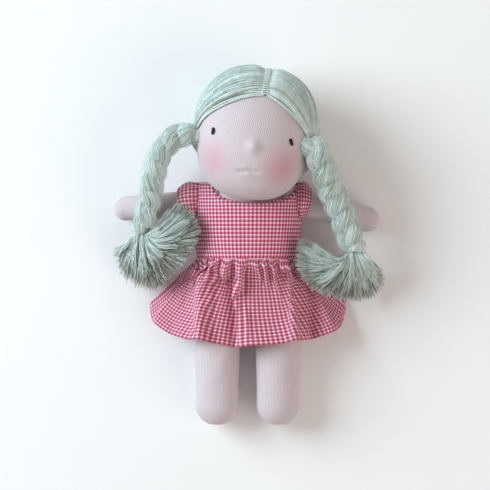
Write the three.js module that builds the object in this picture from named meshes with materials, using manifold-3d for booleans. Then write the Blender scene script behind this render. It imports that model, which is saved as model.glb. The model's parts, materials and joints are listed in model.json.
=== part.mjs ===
// A waldorf doll lying on its back: wool-stuffed jersey body, yarn plaits and a gathered gingham dress.
// Millimetres. X runs to the doll's left, Y to its crown, Z out of its chest; the ground is Z = 0.
import * as THREE from 'three';
import { mergeVertices } from 'three/addons/utils/BufferGeometryUtils.js';
import Module from 'manifold-3d';

const wasm = await Module();
wasm.setup();

const { abs, atan2, cos, hypot, max, min, PI, pow, sign, sin, sqrt } = Math;
const { clamp, degToRad, lerp, smoothstep } = THREE.MathUtils;
const vec = (x, y, z) => new THREE.Vector3(x, y, z);

// Cloth, thread and fits
const AIR = 0.3;
const JERSEY = 0.9;
const COTTON = 1;
const THREAD = 1.6;
const PRESSED_FLAT = 0.5;

// Torso
const TORSO_HALF_WIDTH = 36;
const TORSO_HALF_DEPTH = 22;
const TORSO_TOP = 28;
const TORSO_SEAT = -30;
const TORSO_FULLNESS = 4;

// Head and neck, about the head's own tilted axis
const HEAD_HALF_WIDTH = 46;
const HEAD_HALF_HEIGHT = 49;
const HEAD_HALF_DEPTH = 43;
const HEAD_FULLNESS = 2.2;
const CHIN_FULLNESS = 2.6;
const HEAD_X = 6.4;
const HEAD_TILT = degToRad(8.5);
const NECK_RADIUS = 13;
const NECK_INSERT = 5;
const NECK_SETBACK = 10;
const CHIN_GAP = 1.6;
const CHIN_SHARE = 0.75;

// Face
const EYE_HEIGHT = -4;
const EYE_SPREAD = 31.3;
const EYE_SHIFT = -1.9;
const EYE_LENGTH = 5.6;
const EYE_WIDTH = 2.2;
const EYE_LEANS = { left: degToRad(-20), right: degToRad(6) };
const NOSE_HEIGHT = -12;
const NOSE_RADIUS = 6;
const NOSE_RISE = 2.2;
const MOUTH_HEIGHT = -31;
const MOUTH_WIDTH = 15;

// Hair cap
const HAIR_THICKNESS = 4.6;
const HAIRLINE_ANGLE = degToRad(34);
const NAPE_ANGLE = degToRad(216);
const PARTING_GAP = 2.2;
const PARTING_SHIFT = 3;
const GATHER_RADIUS = 8;
const GATHER_DROP = 0.07;
const GATHER_FORWARDS = { left: 0.42, right: 0.1 };

// Plaits
const STRAND_RADIUS = 4;
const PLAIT_SEATS = { left: 2.2, right: 3 };
const PLAIT_SWAY = 8;
const PLAIT_LIFT = 6.4;
const PLAIT_PITCH = 37;
const PLAIT_TIED_SHARE = 0.55;
const PLAIT_TAPER = 17;

// Tassels
const TASSEL_ROOT = 4.5;
const TASSEL_LEAD = 2.4;
const TASSEL_THICKNESS = 15;
const TASSEL_EDGE = 7;
const TASSEL_LOCKS = 9;
const TASSEL_LOCK_DEPTH = 3;
const TASSEL_RIM = 0.6;

// Arms
const ARM_RADIUS = 10.8;
const ARM_LENGTH = 62;
const ARM_END = 9.6;
const ARM_BELOW_TOP = 7;
const ARM_DROP = degToRad(14);
const ARM_SWINGS = { left: degToRad(-14), right: degToRad(-4) };

// Legs
const LEG_RADIUS = 18.5;
const LEG_LENGTH = 108;
const LEG_END = 16.5;
const LEG_PARTING = 11.8;
const LEG_SLOPE = degToRad(1.5);
const LIMB_MIDDLE_TAPER = 0.35;
const LIMB_TIP_FULLNESS = 0.85;

// Dress bodice
const CHEST_EASE = 10;
const WAIST_EASE = 3.5;
const DEPTH_EASE = 5.5;
const SHOULDER_ROLL = 25;
const SHOULDER_STRAP = 2;
const NECKLINE_DEPTH = 15;
const NECKLINE_SHIFT = 4;
const ARMHOLE_EASE = 4;
const BACK_OPENING = -5;
const FACING_WIDTH = 18;
const FACING = 0.8;
const SNAP_RADIUS = 3.5;
const SNAP_HEIGHT = 1.2;
const SNAP_SPACING = 18;

// Sleeves
const SLEEVE_EASE = 4.2;
const SLEEVE_RISE = 2;
const SLEEVE_LENGTH = 17;
const SLEEVE_UNDERARM = 6;

// Skirt
const WAIST_ABOVE_SEAT = 7;
const SKIRT_FRONT_LENGTH = 69;
const SKIRT_SIDE_LENGTH = 35;
const SKIRT_SWEEP = 0.7;
const SKIRT_FLARE = 0.8;
const SKIRT_LAP = 0.4;
const HEM_HALF_WIDTH = 77;
const HEM_LIFT = 6.3;
const HEM_SIDE = 8;
const FOLDS = 11;
const FOLD_DEPTH = 2.6;

// Heights that follow from what lies under each piece
const bodiceHalfDepth = TORSO_HALF_DEPTH + DEPTH_EASE;
const bodiceZ = bodiceHalfDepth - PRESSED_FLAT;
const dressTop = bodiceZ + bodiceHalfDepth;
const facingZ = COTTON + 2 * AIR + SNAP_HEIGHT;
const torsoZ = facingZ + FACING + AIR + TORSO_HALF_DEPTH;
const torsoMiddle = (TORSO_TOP + TORSO_SEAT) / 2;
const torsoHalfHeight = (TORSO_TOP - TORSO_SEAT) / 2;
const headZ = HEAD_HALF_DEPTH + AIR + HAIR_THICKNESS - PRESSED_FLAT;
const headY = TORSO_TOP + CHIN_GAP + HEAD_HALF_HEIGHT * cos(HEAD_TILT);
const armHeight = TORSO_TOP - ARM_BELOW_TOP;
const shoulderX = TORSO_HALF_WIDTH + AIR + ARM_RADIUS;
const legX = LEG_RADIUS + LEG_PARTING / 2;
const hipY = TORSO_SEAT - AIR - LEG_RADIUS;
const hipZ = LEG_RADIUS + AIR + (LEG_LENGTH - LEG_END) * sin(LEG_SLOPE);
const sleeveY = armHeight + SLEEVE_RISE;
const sleeveHalfHeight = ARM_RADIUS + SLEEVE_EASE;
const sleeveHalfDepth = sleeveHalfHeight + (bodiceZ - torsoZ) / 2;
const shoulderLine = sleeveY + sleeveHalfHeight + 2 * AIR;
const armholeX = TORSO_HALF_WIDTH + ARMHOLE_EASE;
const necklineHalfWidth = armholeX - NECKLINE_SHIFT - SHOULDER_STRAP;
const bodiceHalfWidth = TORSO_HALF_WIDTH + CHEST_EASE;
const waistHalfWidth = TORSO_HALF_WIDTH + WAIST_EASE;
const waistLine = TORSO_SEAT + WAIST_ABOVE_SEAT;
const skirtTop = waistLine - AIR;
const hemFront = hipZ + LEG_RADIUS + HEM_LIFT;
const headPose = new THREE.Matrix4().makeRotationZ(-HEAD_TILT).setPosition(HEAD_X, headY, headZ);

const SIDES = { left: 1, right: -1 };
const SHELL = 0.5;

// Welds a geometry into one closed body, drops collapsed triangles and turns its faces outwards.
function closedBody(geometry) {
  geometry.deleteAttribute('normal');
  geometry.deleteAttribute('uv');
  const welded = mergeVertices(geometry, 1e-4);
  const place = welded.attributes.position;
  const at = (i) => vec().fromBufferAttribute(place, i);
  const kept = [];
  let volume = 0;
  for (let i = 0; i < welded.index.count; i += 3) {
    const [a, b, c] = [0, 1, 2].map((k) => welded.index.getX(i + k));
    if (a === b || b === c || c === a) continue;
    kept.push([a, b, c]);
    volume += at(a).dot(at(b).cross(at(c)));
  }
  welded.setIndex(kept.flatMap(([a, b, c]) => (volume > 0 ? [a, b, c] : [a, c, b])));
  return welded;
}

// Moves every vertex of a geometry to the place that a function gives for it.
function shaped(geometry, move) {
  const place = geometry.attributes.position;
  for (let i = 0; i < place.count; i += 1) {
    const p = move(vec().fromBufferAttribute(place, i));
    place.setXYZ(i, p.x, p.y, p.z);
  }
  return closedBody(geometry);
}

const solid = (geometry) => new wasm.Manifold(new wasm.Mesh({
  numProp: 3,
  vertProperties: Float32Array.from(geometry.attributes.position.array),
  triVerts: Uint32Array.from(geometry.index.array),
}));

// The surface of a joined or cut solid, as a geometry again.
function surface(manifold) {
  const mesh = manifold.getMesh();
  const geometry = new THREE.BufferGeometry();
  geometry.setAttribute('position', new THREE.BufferAttribute(mesh.vertProperties, 3));
  geometry.setIndex(new THREE.BufferAttribute(mesh.triVerts, 1));
  return geometry;
}

const cut = (body, cutter) => body.subtract(solid(cutter));
const minus = (body, ...cutters) => surface(cutters.reduce(cut, solid(body)));
const plus = (body, other) => surface(solid(body).add(solid(other)));
const within = (body, region) => surface(solid(body).intersect(solid(region)));

// A block between two corners, as a cutter.
function block(low, high) {
  const size = high.clone().sub(low);
  const middle = high.clone().add(low).multiplyScalar(0.5);
  return closedBody(new THREE.BoxGeometry(size.x, size.y, size.z).translate(middle.x, middle.y, middle.z));
}

// A round or oval bar from one point, along an axis, as a cutter.
function bar(halfX, halfZ, length, turn, middle) {
  const rod = new THREE.CylinderGeometry(1, 1, length, 32).scale(halfX, 1, halfZ);
  rod.applyMatrix4(new THREE.Matrix4().makeRotationFromEuler(turn).setPosition(middle));
  return closedBody(rod);
}

// An outline from pole to pole; each half is rounder as its fullness nears two and squarer above it.
function roundOutline(radius, halfHeight, lowerFullness, upperFullness, rows) {
  const outline = [];
  for (let i = 0; i <= rows; i += 1) {
    const turn = lerp(-PI / 2, PI / 2, i / rows);
    const power = 2 / (turn < 0 ? lowerFullness : upperFullness);
    const reach = i % rows ? pow(cos(turn), power) : 0;
    outline.push(new THREE.Vector2(radius * reach, halfHeight * sign(turn) * pow(abs(sin(turn)), power)));
  }
  return outline;
}

// A ring of cloth round the Y axis: each point is placed by its turn, its share of the length and its layer.
function clothRing(rows, segments, place) {
  const outline = [];
  for (let i = 0; i <= rows; i += 1) outline.push(new THREE.Vector2(1, i / rows));
  for (let i = rows; i >= 0; i -= 1) outline.push(new THREE.Vector2(SHELL, i / rows));
  outline.push(outline[0]);
  const ring = new THREE.LatheGeometry(outline, segments);
  return shaped(ring, (p) => place(atan2(p.x, p.z), p.y, hypot(p.x, p.z) > (1 + SHELL) / 2 ? 0 : 1));
}

// A sheet with a thickness: each point is placed by its two shares across the sheet and its layer.
function clothPatch(columns, rows, place) {
  const sheet = new THREE.BoxGeometry(1, 1, 1, columns, rows, 1);
  return shaped(sheet, (p) => place(p.x + 0.5, p.y + 0.5, p.z > 0 ? 0 : 1));
}

// A tube of changing size along a path, with a section that stays level.
function strand(steps, sides, path, radius) {
  const tube = new THREE.CylinderGeometry(1, 1, 1, sides, steps);
  return shaped(tube, (p) => {
    const share = clamp(p.y + 0.5, 0, 1);
    const step = 1e-3;
    const along = path(min(share + step, 1)).sub(path(max(share - step, 0))).normalize();
    const across = vec(0, 0, 1).cross(along).normalize();
    const over = along.clone().cross(across);
    const r = radius(share);
    return path(share).addScaledVector(across, p.x * r).addScaledVector(over, p.z * r);
  });
}

// Torso: a full, square-shouldered bag of jersey, stuffed with wool and open where the neck goes in.
function torsoForm(inset) {
  const width = TORSO_HALF_WIDTH - inset;
  const depth = (TORSO_HALF_DEPTH - inset) / width;
  const outline = roundOutline(width, torsoHalfHeight - inset, TORSO_FULLNESS, TORSO_FULLNESS, 8);
  const bag = new THREE.LatheGeometry(outline, 18);
  return shaped(bag, (p) => vec(p.x, torsoMiddle + p.y, torsoZ + p.z * depth));
}

// The bar that opens the torso for the neck, along the head's axis.
function neckOpening(radius) {
  const foot = vec(0, -HEAD_HALF_HEIGHT - NECK_INSERT, -NECK_SETBACK).applyMatrix4(headPose);
  const length = 4 * NECK_INSERT;
  const along = vec(sin(HEAD_TILT), cos(HEAD_TILT), 0).multiplyScalar(length / 2 - AIR);
  return bar(radius, radius, length, new THREE.Euler(0, 0, -HEAD_TILT), foot.add(along));
}

// Head: the scale that carries a direction out to the head's rounded surface.
function headPoint(direction, offset) {
  const d = direction.clone().normalize();
  const full = d.y < 0 ? CHIN_FULLNESS : HEAD_FULLNESS;
  const swell = pow(pow(abs(d.y), full) + pow(hypot(d.x, d.z), full), -1 / full);
  const half = vec(HEAD_HALF_WIDTH, HEAD_HALF_HEIGHT, HEAD_HALF_DEPTH).addScalar(offset);
  return d.multiplyScalar(swell).multiply(half);
}

// A place on the face, by its distances across and up from the middle of the head.
function facePoint(across, up, offset) {
  const y = up / (HEAD_HALF_HEIGHT + offset);
  const x = across / (HEAD_HALF_WIDTH + offset);
  const full = up < 0 ? CHIN_FULLNESS : HEAD_FULLNESS;
  const round = pow(1 - pow(abs(y), full), 2 / full);
  return vec(across, up, (HEAD_HALF_DEPTH + offset) * sqrt(max(round - x * x, 0)));
}

// The ball that lifts the skin into a nose, drawn in by an inset.
function noseForm(inset) {
  const ball = new THREE.SphereGeometry(NOSE_RADIUS - inset, 12, 8);
  const middle = facePoint(0, NOSE_HEIGHT, NOSE_RISE - NOSE_RADIUS);
  return closedBody(ball.translate(middle.x, middle.y, middle.z));
}

// The head's ball and neck, drawn in by an inset, with the neck run on by a length.
function headForm(inset, neckRun) {
  const neck = NECK_RADIUS - inset;
  const foot = -HEAD_HALF_HEIGHT - NECK_INSERT - neckRun;
  const width = HEAD_HALF_WIDTH - inset;
  const ball = roundOutline(width, HEAD_HALF_HEIGHT - inset, CHIN_FULLNESS, HEAD_FULLNESS, 12);
  const chin = ball.filter((p) => p.y > 0 || p.x > neck + JERSEY);
  const outline = [new THREE.Vector2(0, foot), new THREE.Vector2(neck, foot)];
  outline.push(new THREE.Vector2(neck, -HEAD_HALF_HEIGHT + inset), ...chin);
  const depth = (HEAD_HALF_DEPTH - inset) / width;
  return shaped(new THREE.LatheGeometry(outline, 22), (p) => {
    const low = smoothstep(-p.y, HEAD_HALF_HEIGHT * CHIN_SHARE, HEAD_HALF_HEIGHT - inset);
    return vec(p.x, p.y, p.z * lerp(depth, 1, low) - NECK_SETBACK * low);
  });
}

// The thread tied round the head core at the eye line, sunk in a groove of its own width.
function eyeLineThread(radius) {
  const ring = new THREE.TorusGeometry(2, 1, 5, 22).rotateZ(PI / 2);
  const sunk = JERSEY + 2 * AIR + THREAD / 2;
  const reach = HEAD_HALF_WIDTH - sunk;
  const depth = (HEAD_HALF_DEPTH - sunk) / reach;
  return shaped(ring, (p) => {
    const turn = atan2(p.y, p.x);
    const out = reach + radius * (hypot(p.x, p.y) - 2);
    return vec(out * cos(turn), EYE_HEIGHT + radius * p.z, out * sin(turn) * depth);
  });
}

// A short raised stitch on the face, standing on the skin and leaning by an angle.
function faceStitch(across, up, width, length, lean) {
  const stitch = new THREE.SphereGeometry(1, 8, 6);
  return shaped(stitch, (p) => {
    const side = p.x * width / 2;
    const rise = p.y * length / 2;
    const x = across + side * cos(lean) + rise * sin(lean);
    const y = up + rise * cos(lean) - side * sin(lean);
    return facePoint(x, y, AIR + THREAD / 4 * (1 + p.z));
  });
}

// The directions from the middle of the head to a place along the parting and to a gather.
function partingWay(share) {
  const turn = lerp(HAIRLINE_ANGLE, NAPE_ANGLE, share);
  return vec(PARTING_SHIFT / HEAD_HALF_WIDTH, sin(turn), cos(turn)).normalize();
}

const gatherWay = (name) => vec(SIDES[name], -GATHER_DROP, GATHER_FORWARDS[name]).normalize();

// Hair cap: every yarn runs from the parting round the head to the gather above the ear.
function hairPoint(name, alongParting, towardsGather, offset) {
  const side = SIDES[name];
  const parting = partingWay(alongParting);
  const gather = gatherWay(name);
  const ring = parting.clone().addScaledVector(gather, -parting.dot(gather)).normalize();
  const end = gather.clone().addScaledVector(ring, GATHER_RADIUS / HEAD_HALF_DEPTH).normalize();
  const sweep = parting.angleTo(end);
  const yarn = parting.multiplyScalar(sin((1 - towardsGather) * sweep));
  yarn.addScaledVector(end, sin(towardsGather * sweep));
  const place = headPoint(yarn, offset);
  place.x += side * PARTING_GAP / 2 * (1 - towardsGather);
  return vec(place.x, place.y, max(place.z, -headZ));
}

const hairLayers = [HAIR_THICKNESS + AIR, 2 * AIR];
const hairCap = (name) => clothPatch(14, 8, (u, v, layer) => hairPoint(name, u, v, hairLayers[layer]));

// The row of stitches that fastens the yarn down along the parting.
function partingStitch() {
  const offset = AIR + THREAD / 2;
  const line = (share) => headPoint(partingWay(share), offset + AIR);
  const tube = new THREE.CylinderGeometry(THREAD / 2, THREAD / 2, 1, 6, 16);
  return shaped(tube, (p) => {
    const spot = line(clamp(p.y + 0.5, 0, 1));
    const out = spot.clone().normalize();
    return vec(p.x * (PARTING_GAP / THREAD - AIR), 0, 0).add(spot).addScaledVector(out, p.z);
  });
}

// Plaits: knots along the middle of each plait from the gather to the tie, off the middle of the head. Each
// is a share of the head's half width outwards, of its half height upwards and of its half depth forwards.
const PLAIT_KNOTS = {
  left: [
    [1.12, -0.25, 0.44],
    [1.215, -0.43, 0.42],
    [1.23, -0.644, 0.247],
    [1.328, -0.9, 0.072],
    [1.47, -1.195, -0.079],
    [1.6, -1.511, -0.172],
    [1.752, -1.899, -0.265],
  ],
  right: [
    [1.2913, -0.0216, 0.1070],
    [1.4870, -0.1237, 0.1070],
    [1.6609, -0.3278, 0.0837],
    [1.7696, -0.6135, 0.0140],
    [1.8348, -0.9196, -0.0791],
    [1.8891, -1.2257, -0.1256],
    [2.0174, -1.5727, -0.2651],
  ],
};

// The smooth line along the middle of one plait.
function plaitLine(name) {
  const root = headPoint(gatherWay(name), PLAIT_SEATS[name]).applyMatrix4(headPose);
  const knots = PLAIT_KNOTS[name].map(([out, up, forward]) => vec(
    HEAD_X + SIDES[name] * out * HEAD_HALF_WIDTH,
    headY + up * HEAD_HALF_HEIGHT,
    headZ + forward * HEAD_HALF_DEPTH,
  ));
  return new THREE.CatmullRomCurve3([root, ...knots], false, 'centripetal');
}

// The share of its full size that a plait has near its two gathered ends.
function plaitSize(share, length) {
  const fromRoot = smoothstep(share * length, 0, PLAIT_TAPER);
  const fromTie = smoothstep((1 - share) * length, 0, PLAIT_TAPER);
  return lerp(PLAIT_TIED_SHARE, 1, min(fromRoot, fromTie));
}

// One of the three strands: it sways from side to side once a pitch and passes over and under twice.
function plaitStrand(name, number, spare) {
  const line = plaitLine(name);
  const length = line.getLength();
  const path = (share) => {
    const along = line.getTangentAt(share);
    const across = vec(0, 0, 1).cross(along).normalize();
    const over = along.clone().cross(across);
    const phase = 2 * PI * (share * length / PLAIT_PITCH + number / 3);
    const size = plaitSize(share, length);
    const sway = SIDES[name] * PLAIT_SWAY * size * sin(phase);
    const lift = PLAIT_LIFT * size * sin(2 * phase);
    return line.getPointAt(share).addScaledVector(across, sway).addScaledVector(over, lift);
  };
  return strand(21, 6, path, (share) => STRAND_RADIUS * plaitSize(share, length) + spare);
}

// The yarn wound round a plait where its strands end.
function plaitTie(name) {
  const line = plaitLine(name);
  const inside = PLAIT_TIED_SHARE * (max(PLAIT_SWAY, PLAIT_LIFT) + STRAND_RADIUS) + AIR;
  const ring = new THREE.TorusGeometry(inside + THREAD, THREAD, 5, 16);
  const turn = new THREE.Quaternion().setFromUnitVectors(vec(0, 0, 1), line.getTangentAt(1));
  const place = line.getPointAt(1 - THREAD / line.getLength());
  return closedBody(ring.applyQuaternion(turn).translate(place.x, place.y, place.z));
}

// Tassels: fans of loose yarn ends, by the turns of their two edges and their reach along the way round.
const FANS = {
  left: { from: degToRad(-188), to: degToRad(-32), reach: [50, 53, 52, 46, 44, 43, 30] },
  right: { from: degToRad(26), to: degToRad(-130), reach: [43, 51, 48, 45, 52, 43, 29] },
};

// The height that loose yarn rests at, as shares of the dress's height from its middle out to the ground.
const REST_SPAN = 120;
const REST_SHARES = [1.03, 1.01, 0.97, 0.86, 0.72, 0.48, 0.2, 0.04, 0.02];
const restLine = new THREE.SplineCurve(REST_SHARES.map((share, i) => new THREE.Vector2(i, share * dressTop)));
const restHeight = (x) => restLine.getPoint(clamp(abs(x) / REST_SPAN, 0, 1)).y;

// A tassel: yarn that comes straight out of the tie, then opens into its fan and settles.
function tassel(name) {
  const fan = FANS[name];
  const line = plaitLine(name);
  const tie = line.getPointAt(1);
  const along = line.getTangentAt(1);
  const across = vec(0, 0, 1).cross(along).normalize();
  const edge = new THREE.SplineCurve(fan.reach.map((reach, i) => new THREE.Vector2(i, reach)));
  const spread = (ahead, aside) => tie.clone().addScaledVector(along, ahead).addScaledVector(across, aside);
  return clothPatch(18, 5, (u, v, layer) => {
    const turn = lerp(fan.from, fan.to, u);
    const far = edge.getPoint(u).y + TASSEL_LOCK_DEPTH * cos(2 * PI * TASSEL_LOCKS * u);
    const leaning = across.x * cos(turn) + across.y * sin(turn);
    const start = spread(TASSEL_LEAD, TASSEL_ROOT * leaning);
    const bend = spread(3 * TASSEL_ROOT, 2 * TASSEL_ROOT * leaning);
    const tip = vec(tie.x + far * cos(turn), tie.y + far * sin(turn), 0);
    tip.z = restHeight(tip.x) + TASSEL_EDGE / 2;
    const spot = new THREE.QuadraticBezierCurve3(start, bend, tip).getPoint(v);
    const full = v > 0 ? lerp(TASSEL_THICKNESS, TASSEL_EDGE, v) : 2 * TASSEL_ROOT;
    const thick = full * lerp(TASSEL_RIM, 1, sin(PI * u));
    const under = max(restHeight(spot.x), spot.z - thick / 2);
    return vec(spot.x, spot.y, layer ? under : under + thick);
  });
}

// Limbs: a round-ended tube from its seam, drawn in by an inset; the seam end is at the origin's far side.
function limbForm(radius, length, end, inset, opening) {
  const outline = [];
  for (let i = 0; i <= 3; i += 1) {
    const turn = lerp(-PI / 2, 0, i / 3);
    outline.push(new THREE.Vector2((radius - inset) * cos(turn), (radius - inset) * sin(turn)));
  }
  const tip = length - end;
  outline.push(new THREE.Vector2(lerp(radius, end, LIMB_MIDDLE_TAPER) - inset, tip / 2));
  for (let i = 0; i <= 4; i += 1) {
    const turn = lerp(0, PI / 2, i / 4);
    const reach = pow(max(cos(turn), 0), LIMB_TIP_FULLNESS);
    outline.push(new THREE.Vector2((end - inset) * reach, tip + (end - inset) * sin(turn)));
  }
  outline[0].x = 0;
  outline.at(-1).x = 0;
  if (opening) {
    outline[0].set(opening, -radius + inset);
    outline.unshift(new THREE.Vector2(0, -radius - AIR), new THREE.Vector2(opening, -radius - AIR));
  }
  return closedBody(new THREE.LatheGeometry(outline, 14));
}

// Bodice: half width and half depth of the dress at a height, drawn in by an inset.
function bodiceSection(y, inset) {
  const rise = clamp((y - waistLine) / (shoulderLine - waistLine), 0, 1);
  const width = lerp(waistHalfWidth, bodiceHalfWidth, sqrt(rise)) - inset;
  const roll = clamp((y - shoulderLine + SHOULDER_ROLL) / (SHOULDER_ROLL - inset), 0, 1);
  return { width, depth: (bodiceHalfDepth - inset) * sqrt(1 - roll * roll) };
}

// A bag of cloth, closed along the shoulder line and open at the waist.
function bodiceForm(inset, drop) {
  const outline = [new THREE.Vector2(0, -drop)];
  for (let i = 0; i <= 8; i += 1) outline.push(new THREE.Vector2(1, sin(PI / 2 * i / 8)));
  outline.push(new THREE.Vector2(0, 1));
  const top = shoulderLine - inset;
  return shaped(new THREE.LatheGeometry(outline, 36), (p) => {
    const y = p.y < 0 ? waistLine + p.y : lerp(waistLine, top, p.y);
    const { width, depth } = bodiceSection(y, inset);
    return vec(p.x * width, y, max(bodiceZ + p.z * depth, inset));
  });
}

// The whole bodice before it is parted at its seams, with the neckline and the armholes cut out.
function bodiceShell() {
  const upright = new THREE.Euler(PI / 2, 0, 0);
  const level = new THREE.Euler(0, 0, PI / 2);
  const neckMiddle = vec(NECKLINE_SHIFT, shoulderLine, bodiceZ);
  const neck = bar(necklineHalfWidth, NECKLINE_DEPTH, 4 * bodiceHalfDepth, upright, neckMiddle);
  const holes = Object.values(SIDES).map((side) => {
    const middle = vec(side * (armholeX + bodiceHalfWidth / 2), sleeveY, bodiceZ);
    return bar(sleeveHalfHeight + AIR, sleeveHalfDepth + AIR, bodiceHalfWidth, level, middle);
  });
  return minus(bodiceForm(0, 0), bodiceForm(COTTON, 2 * COTTON), neck, ...holes);
}

// Sleeve: a short ring set into its armhole.
function sleeve(side) {
  return clothRing(3, 22, (turn, share, layer) => {
    const inset = layer * COTTON;
    const y = (sleeveHalfHeight - inset) * cos(turn);
    const z = (sleeveHalfDepth - inset) * sin(turn);
    const { width, depth } = bodiceSection(sleeveY + y, 0);
    const wall = width * sqrt(max(1 - pow(z / max(depth, COTTON), 2), 0)) - 2 * COTTON;
    const seam = max(wall, armholeX + AIR);
    const end = armholeX + lerp(SLEEVE_UNDERARM, SLEEVE_LENGTH, (1 + cos(turn)) / 2);
    return vec(side * lerp(seam, end, share), sleeveY + y, bodiceZ + z);
  });
}

// Skirt: how far down its length a share of the cloth hangs, and how it widens on the way.
const skirtLength = (turn) => lerp(SKIRT_SIDE_LENGTH, SKIRT_FRONT_LENGTH, pow(abs(cos(turn)), SKIRT_SWEEP));
const skirtFlare = (share) => pow(share, SKIRT_FLARE);

// A point of the skirt, by its turn from the front, its share of the length and its inset.
function skirtPoint(turn, share, inset) {
  const flare = skirtFlare(share);
  const width = lerp(waistHalfWidth, HEM_HALF_WIDTH, flare) - inset;
  const side = lerp(bodiceZ, HEM_SIDE, flare);
  const front = lerp(dressTop, hemFront, flare);
  const facing = cos(turn);
  const fold = FOLD_DEPTH * flare * cos(FOLDS * turn);
  const lap = pow(abs(facing), lerp(1, SKIRT_LAP, flare));
  const over = side + (front - side - inset + fold) * facing;
  const under = side - (side + PRESSED_FLAT - inset) * lap;
  const height = max(facing > 0 ? over : under, inset);
  return vec(width * sin(turn), skirtTop - share * skirtLength(turn), height);
}

// Adds one named piece in its own finish.
function piece(parent, name, geometry, color, roughness) {
  const mesh = new THREE.Mesh(geometry, new THREE.MeshStandardMaterial({ color, roughness, metalness: 0 }));
  mesh.name = name;
  parent.add(mesh);
  return mesh;
}

const SKIN = 0xe3d3d3;
const WOOL = 0xf0ebe0;
const YARN = 0xb4c4bf;
const GINGHAM = 0xd27f94;
const LINEN = 0xefe6d8;
const BLACK = 0x1c1a1a;
const STEEL = 0xb9bcc0;

const doll = new THREE.Group();

// Torso
const neckHole = neckOpening(NECK_RADIUS + 2 * AIR + THREAD / 2);
piece(doll, 'torso_skin', minus(torsoForm(0), torsoForm(JERSEY), neckHole), SKIN, 0.95);
piece(doll, 'torso_stuffing', minus(torsoForm(JERSEY + AIR), neckHole), WOOL, 1);

// Head
const head = new THREE.Group();
head.position.set(HEAD_X, headY, headZ);
head.rotation.z = -HEAD_TILT;
doll.add(head);
const lining = headForm(JERSEY, AIR);
const eyeLineGroove = eyeLineThread(THREAD / 2 + 3 * AIR);
piece(head, 'head_core', minus(headForm(JERSEY + AIR, 0), eyeLineGroove), WOOL, 1);
piece(head, 'eye_line_thread', eyeLineThread(THREAD / 2), LINEN, 0.9);
const headSkin = minus(plus(headForm(0, 0), noseForm(0)), plus(lining, noseForm(JERSEY)));
piece(head, 'head_skin', headSkin, SKIN, 0.95);
piece(head, 'nose_ball', minus(noseForm(JERSEY + AIR), lining), WOOL, 1);
for (const [name, side] of Object.entries(SIDES)) {
  const eye = faceStitch(EYE_SHIFT + side * EYE_SPREAD, EYE_HEIGHT, EYE_WIDTH, EYE_LENGTH, EYE_LEANS[name]);
  piece(head, `${name}_eye`, eye, BLACK, 0.6);
  piece(head, `${name}_hair`, hairCap(name), YARN, 1);
}
piece(head, 'mouth_stitch', faceStitch(0, MOUTH_HEIGHT, THREAD / 2, MOUTH_WIDTH, PI / 2), SKIN, 0.9);
piece(head, 'parting_stitch', partingStitch(), YARN, 1);
const neckRing = new THREE.TorusGeometry(NECK_RADIUS + AIR + THREAD / 4, THREAD / 4, 5, 20).rotateX(PI / 2);
const neckTie = piece(head, 'neck_tie', closedBody(neckRing), LINEN, 0.9);
neckTie.position.set(0, -HEAD_HALF_HEIGHT - CHIN_GAP / 4, -NECK_SETBACK);

// Plaits
for (const name of Object.keys(SIDES)) {
  for (let number = 0; number < 3; number += 1) {
    const pressing = [0, 1].filter((other) => other < number).map((other) => plaitStrand(name, other, AIR));
    const lying = minus(plaitStrand(name, number, 0), ...pressing);
    piece(doll, `${name}_plait_strand_${number + 1}`, lying, YARN, 1);
  }
  piece(doll, `${name}_plait_tie`, plaitTie(name), YARN, 1);
  piece(doll, `${name}_tassel`, tassel(name), YARN, 1);
}

// Arms and legs, each hung at its seam
for (const [name, side] of Object.entries(SIDES)) {
  const arm = new THREE.Group();
  arm.position.set(side * shoulderX, armHeight, torsoZ);
  arm.rotation.set(0, 0, side * (ARM_SWINGS[name] - PI / 2));
  arm.rotateX(-ARM_DROP);
  const leg = new THREE.Group();
  leg.position.set(side * legX, hipY, hipZ);
  leg.rotation.set(PI + LEG_SLOPE, 0, 0);
  doll.add(arm, leg);
  const limbs = {
    arm: [arm, ARM_RADIUS, ARM_LENGTH, ARM_END],
    leg: [leg, LEG_RADIUS, LEG_LENGTH, LEG_END],
  };
  for (const [limb, [group, radius, length, end]] of Object.entries(limbs)) {
    const skin = minus(limbForm(radius, length, end, 0), limbForm(radius, length, end, JERSEY, radius / 4));
    piece(group, `${name}_${limb}_skin`, skin, SKIN, 0.95);
    piece(group, `${name}_${limb}_stuffing`, limbForm(radius, length, end, JERSEY + AIR), WOOL, 1);
  }
}

// Dress
const bodice = bodiceShell();
const far = 4 * shoulderLine;
const seam = AIR / 2;
const front = block(vec(-far, -far, bodiceZ + seam), vec(far, far, far));
const backLeft = block(vec(BACK_OPENING + seam, -far, -far), vec(far, far, bodiceZ - seam));
const backRight = block(vec(-far, -far, -far), vec(BACK_OPENING - seam, far, bodiceZ - seam));
piece(doll, 'bodice_front', within(bodice, front), GINGHAM, 0.9);
piece(doll, 'bodice_back_left', within(bodice, backLeft), GINGHAM, 0.9);
piece(doll, 'bodice_back_right', within(bodice, backRight), GINGHAM, 0.9);
for (const [name, side] of Object.entries(SIDES)) piece(doll, `${name}_sleeve`, sleeve(side), GINGHAM, 0.9);
const skirt = clothRing(5, 66, (turn, share, layer) => skirtPoint(turn, 1 - share, layer * COTTON));
piece(doll, 'skirt', skirt, GINGHAM, 0.9);

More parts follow.
